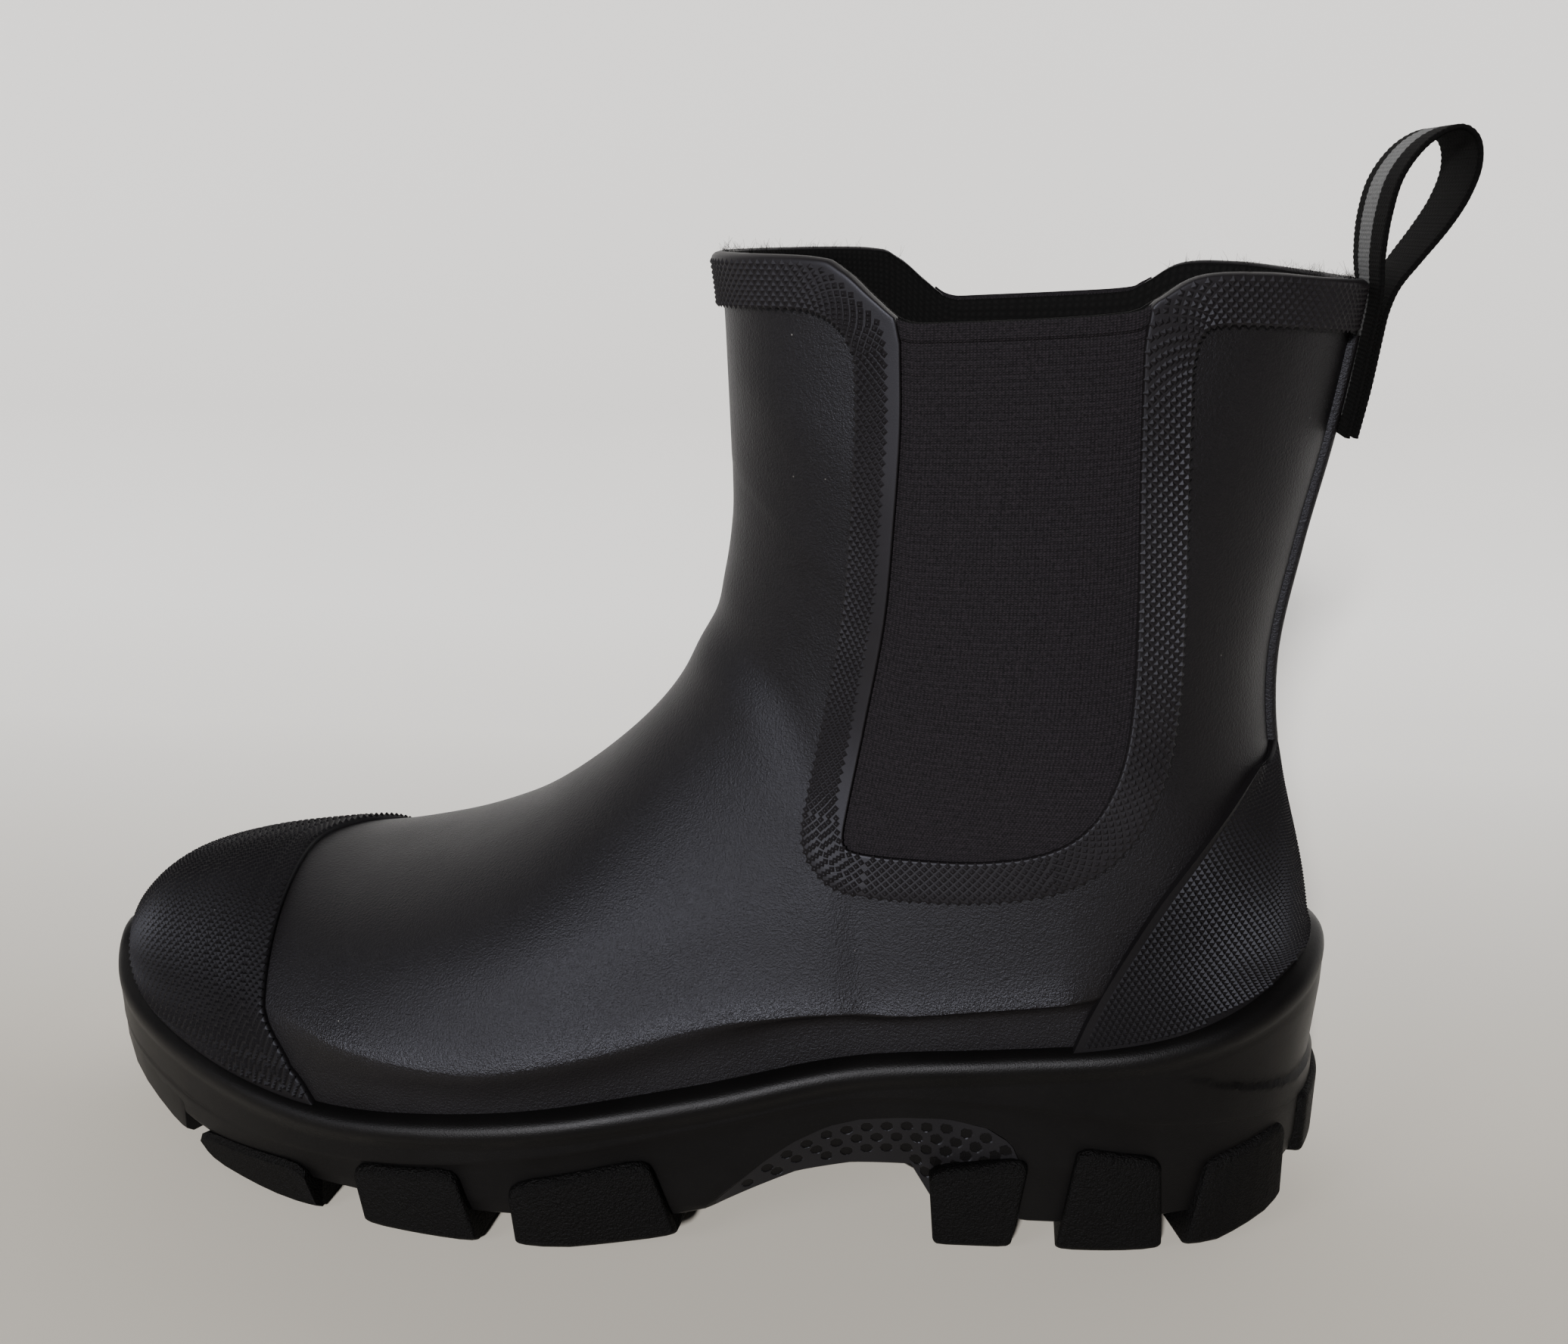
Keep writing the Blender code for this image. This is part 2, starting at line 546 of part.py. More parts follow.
# Trim: a textured rubber tape round the collar, down one edge of each gore and up the other
inner_edge = curve(GORE_EDGE, 2)
inner_edge = inner_edge[inner_edge[:, 1] < line(COLLAR_LINE, inner_edge[:, 0]) - 0.2]
outer_edge = moved_out(curve(GORE_EDGE, 2), BAND_WIDE)
outer_edge = outer_edge[outer_edge[:, 1] < 175.0]
band = np.vstack([
    collar(-6, inner_edge[0, 0] - 0.3),
    inner_edge,
    collar(inner_edge[-1, 0] + 0.3, 150),
    curve(BAND_BACK, 2)[::-1],
    outer_edge[::-1],
    curve(BAND_FRONT, 2)[::-1],
    [(-6, 187.4)],
])
trim = shell(OVERLAY, GAP, prism(band, -FAR, FAR, GORE_LEAN))
finish(trim, "trim_band", trim_look)

# Heel counter: a textured guard over the back of the heel, standing on the bead
counter_area = np.vstack([curve(COUNTER_EDGE, 3), [(160, 103.2), (160, 30)]])
above_bead = np.vstack([seat_line(2 * GAP), [(160, 150), (-160, 150)]])
counter = shell(OVERLAY, GAP, prism(counter_area, -FAR, FAR), prism(above_bead, -FAR, FAR))
finish(counter, "heel_counter", trim_look)

# Back strip: a raised rib over the back seam, from the counter up to the trim
strip_area = ((105, 104.0), (170, 104.4), (170, 180.0), (105, 180.0))
strip = shell(STRIP_OUT, GAP, prism(strip_area, -STRIP_HALF, STRIP_HALF))
finish(strip, "back_strip", trim_look)


def cap_body():
    """The toe guard: a patch of the last from the toe tip to its own edge line."""
    columns = np.linspace(0, 1, CAP_COLUMNS_COUNT + 1)
    dense = curve(CAP_EDGE, 30)
    reach_x = np.interp(np.minimum(columns, 1 - columns), dense[:, 0], dense[:, 1])
    rows = np.linspace(0, len(LAST) - 1, 2000)
    reach = np.interp(reach_x, last_row(rows)[:900, 0], rows[:900])
    share = np.linspace(0, 1, CAP_ROWS + 1)[1:] ** 1.15
    at = 0.55 + share[:, None] * (reach[None, :] - 0.55)
    along = np.broadcast_to(columns, at.shape)
    points, normals = surface(at, along)
    return [points + normals * offset for offset in (1.5 * GAP, OVERLAY)]


def patch(name, inner, outer):
    """A closed plate between two grids of points."""
    tall, wide = inner.shape[:2]
    points = np.vstack([inner.reshape(-1, 3), outer.reshape(-1, 3)])
    many = tall * wide
    faces = []
    for low in (0, many):
        for i in range(tall - 1):
            for j in range(wide - 1):
                corner = low + i * wide + j
                faces.append((corner, corner + 1, corner + wide + 1, corner + wide))
    rim = [j for j in range(wide)]
    rim += [i * wide + wide - 1 for i in range(1, tall)]
    rim += [(tall - 1) * wide + j for j in range(wide - 2, -1, -1)]
    rim += [i * wide for i in range(tall - 2, 0, -1)]
    for k in range(len(rim)):
        a = rim[k]
        b = rim[(k + 1) % len(rim)]
        faces.append((a, b, many + b, many + a))
    return solid(name, points, faces)


# Toe cap: a textured guard over the toe
toe_cap = combine(patch("toe_cap", *cap_body()), prism(above_bead, -FAR, FAR), "INTERSECT")
finish(toe_cap, "toe_cap", trim_look)

# Insole: a thin foot bed lying on the seat inside the upper
bed = np.vstack([seat_line(SEAT_GAP - CUP_DEPTH), seat_line(SEAT_GAP - CUP_DEPTH + INSOLE_THICK)[::-1]])
insole = form(-WALL - GAP)
combine(insole, prism(bed, -FAR, FAR), "INTERSECT")
finish(insole, "insole", insole_look)


def strap_body():
    """Webbing of even thickness along the loop path, turned a little where it is free."""
    path = curve(LOOP_PATH, 6)
    run = np.concatenate([[0], np.cumsum(np.linalg.norm(np.diff(path, axis=0), axis=1))])
    even = np.linspace(0, run[-1], LOOP_STEPS + 1)
    path = np.column_stack([np.interp(even, run, path[:, k]) for k in (0, 1)])
    share = even / run[-1]
    free = np.clip((np.minimum(share, 1 - share) - 0.16) / 0.2, 0, 1)
    twist = np.radians(LOOP_TWIST) * free * free * (3 - 2 * free)
    tangent = np.gradient(path, axis=0)
    tangent /= np.linalg.norm(tangent, axis=1)[:, None]
    across = np.column_stack([-np.sin(twist), np.cos(twist), 0 * twist])
    along = np.column_stack([tangent[:, 0], 0 * twist, tangent[:, 1]])
    out = np.cross(along, across)
    out /= np.linalg.norm(out, axis=1)[:, None]
    centre = np.column_stack([path[:, 0], 0 * twist, path[:, 1]])
    rings = [centre + across * STRAP_WIDE / 2 * a + out * STRAP_THICK / 2 * b
             for a, b in ((-1, -1), (1, -1), (1, 1), (-1, 1))]
    count = len(centre)
    faces = []
    for k in range(4):
        low = k * count
        up = (k + 1) % 4 * count
        for j in range(count - 1):
            faces.append((low + j, low + j + 1, up + j + 1, up + j))
    faces.append(tuple(k * count for k in range(4)))
    faces.append(tuple(k * count + count - 1 for k in range(4)))
    return solid("pull_loop", np.vstack(rings), faces)


# Pull loop: folded webbing fixed on the back seam
pull_loop = strap_body()
finish(pull_loop, "pull_loop", strap_look)
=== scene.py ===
import math

import bpy
import numpy as np
from mathutils import Matrix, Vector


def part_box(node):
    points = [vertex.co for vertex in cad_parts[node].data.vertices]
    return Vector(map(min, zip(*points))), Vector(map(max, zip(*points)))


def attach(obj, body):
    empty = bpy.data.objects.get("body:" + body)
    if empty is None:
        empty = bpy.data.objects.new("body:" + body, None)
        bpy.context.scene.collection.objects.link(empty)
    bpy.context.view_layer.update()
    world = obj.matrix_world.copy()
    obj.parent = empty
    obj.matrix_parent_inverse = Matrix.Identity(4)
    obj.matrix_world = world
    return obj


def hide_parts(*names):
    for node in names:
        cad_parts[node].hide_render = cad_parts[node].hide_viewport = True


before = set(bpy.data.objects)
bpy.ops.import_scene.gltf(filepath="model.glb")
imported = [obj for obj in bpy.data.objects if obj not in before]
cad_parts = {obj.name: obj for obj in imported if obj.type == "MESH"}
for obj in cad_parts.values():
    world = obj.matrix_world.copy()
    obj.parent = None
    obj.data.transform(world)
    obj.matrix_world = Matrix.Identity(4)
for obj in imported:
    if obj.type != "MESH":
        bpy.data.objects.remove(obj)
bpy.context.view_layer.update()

# Sole. One cupped unit of black rubber, moulded in one shot: a rounded bead round the top, a stepped wall,
# scooped arches and a sprung toe. The upper is bonded into its cup, so the bead hides the joint.
# Sizes are in millimetres, measured from the middle of the sole, toe to minus X, outer side to minus Y.
PLAN = (  # place along the sole, outer edge, inner edge, height of the bead, height of the step in the wall
    (-142.0, 8.0, 8.0, 38.5, 25.0),
    (-138.5, -4.0, 20.0, 34.5, 22.5),
    (-129.0, -16.0, 31.0, 31.0, 19.5),
    (-113.0, -28.0, 40.5, 28.2, 16.5),
    (-92.0, -39.5, 47.5, 26.2, 14.5),
    (-68.0, -48.0, 52.0, 25.4, 15.0),
    (-42.0, -52.5, 52.7, 27.8, 18.0),
    (-15.0, -52.5, 48.5, 31.2, 22.5),
    (15.0, -48.0, 43.6, 36.2, 28.5),
    (45.0, -43.0, 40.6, 42.6, 34.5),
    (75.0, -40.5, 40.2, 45.2, 34.0),
    (102.0, -38.0, 38.5, 47.8, 31.0),
    (122.0, -31.0, 31.5, 52.0, 29.0),
    (136.0, -18.0, 20.0, 56.8, 27.5),
    (142.0, 1.5, 1.5, 59.0, 27.0),
)
SIDES_SWAPPED = (0, 2, 1, 3, 4)
HEEL_TIP = len(PLAN) - 1
TREAD_LINE = ((-142, 21.0), (-129, 13.5), (-113, 8.6), (-92, 6.2), (-70, 6.0), (8, 6.0), (16, 7.6), (24, 10.6),
              (34, 14.2), (45, 15.8), (57, 15.8), (63, 5.0), (86, 5.0), (108, 6.5), (118, 7.2), (142, 15.0))
FLOOR_LINE = ((-142, 17.5), (-129, 9.5), (-113, 4.2), (-98, 1.2), (-82, 0.0), (-14, 0.0), (10, 2.8), (30, 2.8),
              (60, 0.0), (120, 0.0), (131, 3.0), (142, 10.0))
ARCH_LINE = ((16, 10.0), (27.5, 20.0), (33, 24.2), (40, 27.9), (46.5, 29.6), (55, 30.2), (64, 30.2), (72, 28.5),
             (77, 25.2), (80, 18.0))
ARCH_DEEP, ARCH_LIP, FLARE = 3.0, 2.4, 1.8
BEAD_INSET = 3.5
WALL = (  # inset from the plan, share of the arch scoop and of the end flare, line and height, steps to the next
    (10.0, 0.5, 0.0, "tread", 0.0, 2),
    (3.6, 1.0, 1.0, "tread", 0.2, 1),
    (2.4, 1.0, 1.0, "tread", 1.3, 5),
    (2.1, 0.4, 1.0, "arch", -0.6, 1),
    (2.0, 0.0, 1.0, "arch", 0.0, 5),
    (1.9, 0.0, 1.0, "step", -0.9, 1),
    (1.75, 0.0, 0.85, "step", -0.35, 1),
    (1.05, 0.0, 0.6, "step", 0.1, 1),
    (0.95, 0.0, 0.5, "step", 0.7, 28),
    (1.0, 0.0, 0.5, "bead", -6.2, 1),
    (0.85, 0.0, 0.4, "bead", -5.2, 1),
    (0.5, 0.0, 0.2, "bead", -4.4, 1),
    (0.18, 0.0, 0.1, "bead", -3.7, 1),
    (0.0, 0.0, 0.0, "bead", -2.7, 1),
    (0.1, 0.0, 0.0, "bead", -1.95, 1),
    (0.38, 0.0, 0.0, "bead", -1.2, 1),
    (0.85, 0.0, 0.0, "bead", -0.55, 1),
    (1.5, 0.0, 0.0, "bead", -0.08, 1),
    (2.4, 0.0, 0.0, "bead", 0.28, 1),
    (3.5, 0.0, 0.0, "bead", 0.55, 1),
    (5.0, 0.0, 0.0, "bead", 0.8, 1),
    (6.3, 0.0, 0.0, "bead", 0.8, 1),
    (6.4, 0.0, 0.0, "bead", -6.0, 1),
)
DUST = (0.10, 0.096, 0.092, 1)
sole_shift = PLAN[0][0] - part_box("sole")[0].x * 1000


def eased(rows, at, swapped=None):
    """Smooth values between the rows of a table; past its ends the rows repeat with their sides swapped."""
    rows = np.asarray(rows, float)
    if swapped is None:
        before, after = 2 * rows[0] - rows[1], 2 * rows[-1] - rows[-2]
    else:
        before, after = rows[1][list(swapped)], rows[-2][list(swapped)]
    rows = np.vstack([before, rows, after])
    at = np.clip(np.asarray(at, float), 0, len(rows) - 3)
    first = np.minimum(at.astype(int), len(rows) - 4)
    t = (at - first)[..., None]
    a, b, c, d = (rows[first + k] for k in range(4))
    return 0.5 * (2 * b + (c - a) * t + (2 * a - 5 * b + 4 * c - d) * t**2 + (3 * b - a - 3 * c + d) * t**3)


def curved(points, steps):
    """A smooth line through side-view points, with this many steps between each two."""
    return eased(points, np.linspace(0, len(points) - 1, steps * (len(points) - 1) + 1))


def height_on(points, x):
    dense = curved(points, 20)
    return np.interp(x, dense[:, 0], dense[:, 1])


def straight_on(points, x):
    return np.interp(x, *np.array(points, float).T)


def unit(rows):
    return rows / np.linalg.norm(rows, axis=-1, keepdims=True)


def sole_edge(inset, side, at):
    """Places of the sole's plan moved in from its edge, on the outer (-1) or inner (1) side."""
    column = 1 if side < 0 else 2
    ahead = eased(PLAN, np.minimum(at + 1e-3, HEEL_TIP), SIDES_SWAPPED)
    behind = eased(PLAN, np.maximum(at - 1e-3, 0), SIDES_SWAPPED)
    run = unit((ahead - behind)[..., [0, column]])
    inward = np.stack([run[..., 1], -run[..., 0]], -1) * side
    inward[at <= 0] = (1, 0)
    inward[at >= HEEL_TIP] = (-1, 0)
    return eased(PLAN, at, SIDES_SWAPPED)[..., [0, column]] + inward * np.asarray(inset)[..., None]


plan_rows = np.linspace(0, HEEL_TIP, 900)
plan_places = eased(PLAN, plan_rows, SIDES_SWAPPED)[:, 0]


def plan_at(x):
    return np.interp(x, plan_places, plan_rows)


def bead_height(x):
    """Height of the bead by the place along the sole of its inner edge."""
    heights = eased(PLAN, plan_rows, SIDES_SWAPPED)[:, 3]
    found = [np.interp(x, sole_edge(np.full(900, BEAD_INSET), side, plan_rows)[:, 0], heights) for side in (-1, 1)]
    return np.maximum(*found)


def flared(x):
    """How far the lower wall comes out towards the bead, early at the toe and late at the heel."""
    return FLARE * np.maximum(np.clip((x - 112) / 26, 0, 1), np.clip((-x - 62) / 45, 0, 1))


def arch_scoop(x):
    """Share of the scoop of the arch, from its front end over the middle to the heel."""
    first, last = ARCH_LINE[0][0], ARCH_LINE[-1][0]
    return np.sin(math.pi * np.clip((x - first) / (last - first), 0, 1)) ** 0.7


def wall_ring(inset, scooped, flare, rule, rise, at):
    """One level of the sole's wall: outer side toe to heel, then back along the inner side to the toe."""
    rows = eased(PLAN, at, SIDES_SWAPPED)
    x = rows[:, 0]
    inset = inset + scooped * ARCH_DEEP * arch_scoop(x) - flare * flared(x)
    tread = straight_on(TREAD_LINE, x)
    arch = np.maximum(tread + ARCH_LIP, straight_on(ARCH_LINE, x))
    z = {"tread": tread, "arch": arch, "step": rows[:, 4], "bead": rows[:, 3]}[rule] + rise
    sides = [np.column_stack([sole_edge(inset, side, at), z]) for side in (-1, 1)]
    return np.vstack([sides[0], sides[1][::-1][1:]])


def in_metres(places):
    """Places in millimetres from the middle of the sole, as the scene takes them."""
    return (np.asarray(places) - (sole_shift, 0, 0)) / 1000


def in_millimetres(corners):
    return corners * 1000 + (sole_shift, 0, 0)


def corners_of(piece):
    flat = np.empty(3 * len(piece.data.vertices))
    piece.data.vertices.foreach_get("co", flat)
    return flat.reshape(-1, 3)


def begun(name, add, **settings):
    """Adds a plain shape to start a piece from."""
    bpy.ops.object.select_all(action="DESELECT")
    add(**settings)
    piece = bpy.context.object
    piece.name = piece.data.name = name
    return piece


def laid_grid(name, points, flip=False):
    """A flat grid whose corners are moved onto points, an array of rows of places in millimetres."""
    rows, columns = points.shape[:2]
    piece = begun(name, bpy.ops.mesh.primitive_grid_add, x_subdivisions=rows - 1, y_subdivisions=columns - 1,
                  size=2)
    cell = np.rint((corners_of(piece)[:, :2] + 1) / 2 * (rows - 1, columns - 1)).astype(int)
    piece.data.vertices.foreach_set("co", in_metres(points[cell[:, 0], cell[:, 1]]).ravel())
    if flip:
        piece.data.flip_normals()
    piece.data.update()
    return piece


def joined(name, *pieces):
    bpy.ops.object.select_all(action="DESELECT")
    for piece in pieces:
        piece.select_set(True)
    bpy.context.view_layer.objects.active = pieces[0]
    if len(pieces) > 1:
        bpy.ops.object.join()
    pieces[0].name = pieces[0].data.name = name
    return pieces[0]


def welded(piece, turned_out=True):
    """Merges doubled corners and, on a closed piece, turns all faces outwards."""
    joined(piece.name, piece)
    bpy.ops.object.mode_set(mode="EDIT")
    bpy.ops.mesh.select_all(action="SELECT")
    bpy.ops.mesh.remove_doubles(threshold=2e-6)
    bpy.ops.mesh.dissolve_degenerate(threshold=1e-7)
    if turned_out:
        bpy.ops.mesh.normals_make_consistent(inside=False)
    bpy.ops.object.mode_set(mode="OBJECT")
    return piece


def smoothed(piece, angle=None):
    joined(piece.name, piece)
    if angle is None:
        bpy.ops.object.shade_smooth()
    else:
        bpy.ops.object.shade_smooth_by_angle(angle=math.radians(angle))
    return piece


def applied(piece, kind, **settings):
    """Adds a modifier to a piece and applies it."""
    joined(piece.name, piece)
    modifier = piece.modifiers.new("shape", kind)
    for key, value in settings.items():
        setattr(modifier, key, value)
    bpy.ops.object.modifier_apply(modifier=modifier.name)
    return piece


def add_node(look, kind, settings=(), **inputs):
    """A shader node with its inputs set or linked; an input named i0, i1 and so on goes by its number."""
    made = look.node_tree.nodes.new("ShaderNode" + kind)
    for key, value in settings:
        setattr(made, key, value)
    for key, value in inputs.items():
        socket = made.inputs[int(key[1:])] if key[1:].isdigit() else made.inputs[key.replace("_", " ")]
        if isinstance(value, bpy.types.NodeSocket):
            look.node_tree.links.new(value, socket)
        else:
            socket.default_value = value
    return made.outputs[0]


def worked_out(look, operation, *values):
    """A node that works out a number from its inputs."""
    return add_node(look, "Math", (("operation", operation),), **{f"i{k}": v for k, v in enumerate(values)})


def ramp(look, source, *stops):
    """A colour ramp over a source, from pairs of place and colour."""
    made = look.node_tree.nodes.new("ShaderNodeValToRGB")
    look.node_tree.links.new(source, made.inputs[0])
    while len(made.color_ramp.elements) < len(stops):
        made.color_ramp.elements.new(0.5)
    for element, (place, colour) in zip(made.color_ramp.elements, stops):
        element.position = place
        element.color = (*colour, 1)
    return made.outputs[0]


def moulded_rubber(name, dark, light, rough, grain, grain_rise, dust=0.1, specular=0.22, sheen=(0.80, 0.83, 1.0)):
    """Black rubber: a fine pebble grain, cloudy gloss and colour, and a few light specks of dust."""
    look = bpy.data.materials.new(name)
    look.use_nodes = True
    link = look.node_tree.links.new
    shader = look.node_tree.nodes["Principled BSDF"]
    shader.inputs["Specular IOR Level"].default_value = specular
    shader.inputs["Specular Tint"].default_value = (*sheen, 1)
    place = look.node_tree.nodes.new("ShaderNodeTexCoord").outputs["Object"]
    cloud = add_node(look, "TexNoise", Vector=place, Scale=38.0, Detail=6.0, Roughness=0.6)
    tint = ramp(look, cloud, (0.3, dark), (0.75, light))
    cells = add_node(look, "TexVoronoi", Vector=place, Scale=150.0).node
    near = worked_out(look, "LESS_THAN", cells.outputs["Distance"], 0.022)
    chosen = worked_out(look, "LESS_THAN", add_node(look, "SeparateColor", Color=cells.outputs["Color"]), dust)
    mixed = look.node_tree.nodes.new("ShaderNodeMix")
    mixed.data_type = "RGBA"
    link(worked_out(look, "MULTIPLY", near, chosen), mixed.inputs["Factor"])
    link(tint, mixed.inputs[6])
    mixed.inputs[7].default_value = DUST
    link(mixed.outputs[2], shader.inputs["Base Color"])
    shine = add_node(look, "MapRange", Value=cloud, From_Min=0.3, From_Max=0.75, To_Min=rough[0], To_Max=rough[1])
    link(shine, shader.inputs["Roughness"])
    pebble = add_node(look, "TexVoronoi", (("feature", "SMOOTH_F1"),), Vector=place, Scale=1000 / grain)
    fine = add_node(look, "TexNoise", Vector=place, Scale=2200 / grain, Detail=2.0)
    height = worked_out(look, "MULTIPLY_ADD", pebble, 0.7, fine)
    link(add_node(look, "Bump", Height=height, Strength=0.6, Distance=grain_rise / 1000), shader.inputs["Normal"])
    return look


def dressed(piece, look):
    """Gives a finished piece its finish and the body it moves with."""
    piece.data.materials.clear()
    piece.data.materials.append(look)
    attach(piece, "root")
    return piece


stations = np.linspace(0, HEEL_TIP, 230)
rings = [wall_ring(*row[:5], stations) for row in WALL]
levels = []
for low, high, row in zip(rings, rings[1:], WALL):
    levels += [low + (high - low) * part for part in np.arange(row[5]) / row[5]]
wall_points = np.stack(levels + [rings[-1]], 1)
# The heel carries a wedge-shaped recess that runs out towards the arch
GROOVE_LOW = ((108, 41.5), (112, 40.4), (118, 38.0), (125, 35.6), (134, 33.2), (142, 32.2))
GROOVE_HIGH = ((108, 41.6), (118, 44.5), (130, 47.5), (142, 49.0))
GROOVE_DEEP = 1.0
wall_x, wall_z = wall_points[..., 0], wall_points[..., 2]
groove_low = straight_on(GROOVE_LOW, wall_x)
groove_high = straight_on(GROOVE_HIGH, wall_x)
share = (wall_z - groove_low) / np.maximum(groove_high - groove_low, 0.5)
cut = np.clip((share + 0.03) / 0.05, 0, 1) * np.clip(1 - share, 0, 1) * np.clip((wall_x - 107) / 14, 0, 1)
ring_run = unit(np.gradient(wall_points[:, 0, :2], axis=0))
ring_in = np.column_stack([-ring_run[:, 1], ring_run[:, 0]])
wall_points[..., :2] += (GROOVE_DEEP * cut)[..., None] * ring_in[:, None, :]
count = len(stations)
RIB_APART, RIB_DEEP = 11, 1.0


def across_sole(ring, columns, shape):
    """A sheet across the sole between the two sides of one ring of its wall."""
    outer, inner = ring[:count], ring[count - 1:][::-1]
    t = np.linspace(0, 1, columns)
    sheet = outer[:, None] * (1 - t)[:, None] + inner[:, None] * t[:, None]
    sheet[:, 1:-1, 2] += shape(sheet[:, 1:-1])
    return sheet


def tread_ribs(p):
    """Low chevron ribs between the lugs, fading out under the arch."""
    wave = np.sin(2 * math.pi * (p[..., 0] + 0.45 * np.abs(p[..., 1])) / RIB_APART)
    solid = np.clip(wave * 4, 0, 1) * np.clip(np.abs(p[..., 0] - 36) / 8 - 3.4, 0, 1)
    inside = np.clip((np.abs(p[..., 0] + 5) - 120) / 10, 0, 1)
    return -RIB_DEEP * solid * (1 - inside)


wall_grid = laid_grid("wall", wall_points)
tread_grid = laid_grid("tread", across_sole(rings[0], 40, tread_ribs))
seat_grid = laid_grid("seat", across_sole(rings[-1], 10, lambda p: 0.0))
sole = smoothed(welded(joined("sole_unit", wall_grid, tread_grid, seat_grid)), 34)
sole_finish = moulded_rubber("sole_rubber", (0.0014, 0.0013, 0.0013), (0.0021, 0.0019, 0.0019), (0.36, 0.46),
                             grain=0.3, grain_rise=0.07, specular=0.11, sheen=(0.93, 0.93, 1.0))
dressed(sole, sole_finish)
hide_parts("sole")

# Lugs. Blocks of the tread that wrap up the wall as flat pads with rounded corners, and an upright tab at the
# back of the heel. They are part of the sole's mould, which is spark-eroded here to a coarse matt pebble.
LUGS = (  # ends at the top, ends at the floor, heights of the top, reach in, how proud, square ends
    (-141.9, -109.0, -140.5, -109.5, 24.4, 15.6, 15.0, -0.75, 0),
    (-104.0, -73.0, -101.0, -70.0, 8.5, 11.0, 27.0, 0.0, 1),
    (-60.0, -36.0, -58.0, -32.0, 15.0, 17.5, 40.0, 0.3, 1),
    (-25.0, 4.5, -24.0, 9.5, 15.5, 22.0, 38.0, 0.3, 1),
    (60.6, 80.5, 61.7, 77.5, 18.0, 22.0, 32.4, 0.2, 1),
    (90.0, 107.0, 86.5, 108.5, 25.0, 22.5, 31.0, 0.2, 1),
    (116.5, 133.0, 113.0, 133.5, 20.5, 25.0, 19.0, 0.2, 0),
)
LUG_PARTS = (0.0, 0.06, 0.17, 0.34, 0.5, 0.66, 0.83, 0.94, 1.0)
LUG_ROUND = (1.0, 0.3, 0.0, 0.0, 0.0, 0.0, 0.0, 0.3, 1.0)
LUG_STATIONS = len(LUG_PARTS)
LUG_TOP_ROUND, LUG_FOOT_ROUND, LUG_ROOT, LUG_BEVEL, TAB_BEVEL = 1.7, 0.6, 4.0, 0.9, 1.1
TAB_FROM, TAB_ROOT, TAB_LOW, TAB_HIGH, TAB_PROUD = 137.2, 126.0, 12.6, 27.0, 1.4


def lug_block(row, side):
    """An eight-sided bar drawn out along the sole, its corners moved to the block's own shape, and rounded."""
    top_from, top_to, foot_from, foot_to, rise_from, rise_to, reach, proud, square = row
    block = begun("lug", bpy.ops.mesh.primitive_cylinder_add, vertices=8, radius=1, depth=1, end_fill_type="NGON")
    for _ in range(LUG_STATIONS - 2):
        for face in block.data.polygons:
            face.select = False
        highest = max(block.data.polygons, key=lambda face: face.center.z + (face.normal.z > 0.9))
        highest.select = True
        bpy.ops.object.mode_set(mode="EDIT")
        bpy.ops.mesh.select_mode(type="FACE")
        bpy.ops.mesh.extrude_region_move(TRANSFORM_OT_translate={"value": (0, 0, 1)})
        bpy.ops.object.mode_set(mode="OBJECT")
    part, rounding = np.array(LUG_PARTS), np.array(LUG_ROUND)
    top = rise_from + part * (rise_to - rise_from) - LUG_TOP_ROUND * rounding
    floor_x = foot_from + part * (foot_to - foot_from)
    floor = straight_on(FLOOR_LINE, floor_x) + LUG_FOOT_ROUND * rounding
    root = np.minimum(straight_on(TREAD_LINE, floor_x) + LUG_ROOT, top - 1.0)
    corners = ((1.8 - proud, floor, 0.0), (0.2 - proud, floor + 1.5, 0.1), (0.3 - proud, top - 1.3, 0.9),
               (1.2, top, 1.0), (5.0, top - 0.4, 1.0), (5.0, root, 0.6), (reach, root, 0.6), (reach, floor, 0.0))
    places = np.empty((8, LUG_STATIONS, 3))
    for k, (inset, z, lean) in enumerate(corners):
        first = foot_from + lean * (top_from - foot_from)
        last = foot_to + lean * (top_to - foot_to)
        x = first + part * (last - first)
        places[k, :, :2] = sole_edge(inset - 0.5 * flared(x), side, plan_at(x))
        if square and inset == reach:
            places[k, :, 0] = x + 0.1 * reach * part
        places[k, :, 2] = z
    for corner in block.data.vertices:
        turn = round(math.atan2(corner.co.y, corner.co.x) / (math.pi / 4)) % 8
        level = round(corner.co.z + 0.5)
        corner.co = in_metres(places[turn, level])
    return applied(welded(block), "BEVEL", width=LUG_BEVEL / 1000, segments=3, limit_method="ANGLE",
                   angle_limit=math.radians(38))


def heel_tab():
    """A flat rim drawn up into a curved pad round the back of the heel."""
    at = np.linspace(plan_at(TAB_FROM), HEEL_TIP, 12)
    rim = [sole_edge(np.full(len(at), -TAB_PROUD), side, at) for side in (-1, 1)]
    rim = np.vstack([rim[0], rim[1][::-1][1:]])
    rim = np.vstack([rim, [(TAB_ROOT, rim[-1, 1]), (TAB_ROOT, rim[0, 1])]])
    tab = begun("tab", bpy.ops.mesh.primitive_circle_add, vertices=len(rim), fill_type="NGON")
    for corner, (x, y) in zip(tab.data.vertices, rim):
        corner.co = in_metres((x, y, TAB_LOW))
    bpy.ops.object.mode_set(mode="EDIT")
    bpy.ops.mesh.select_all(action="SELECT")
    bpy.ops.mesh.extrude_region_move(TRANSFORM_OT_translate={"value": (0, 0, (TAB_HIGH - TAB_LOW) / 1000)})
    bpy.ops.object.mode_set(mode="OBJECT")
    return applied(welded(tab), "BEVEL", width=TAB_BEVEL / 1000, segments=3, limit_method="ANGLE",
                   angle_limit=math.radians(40))


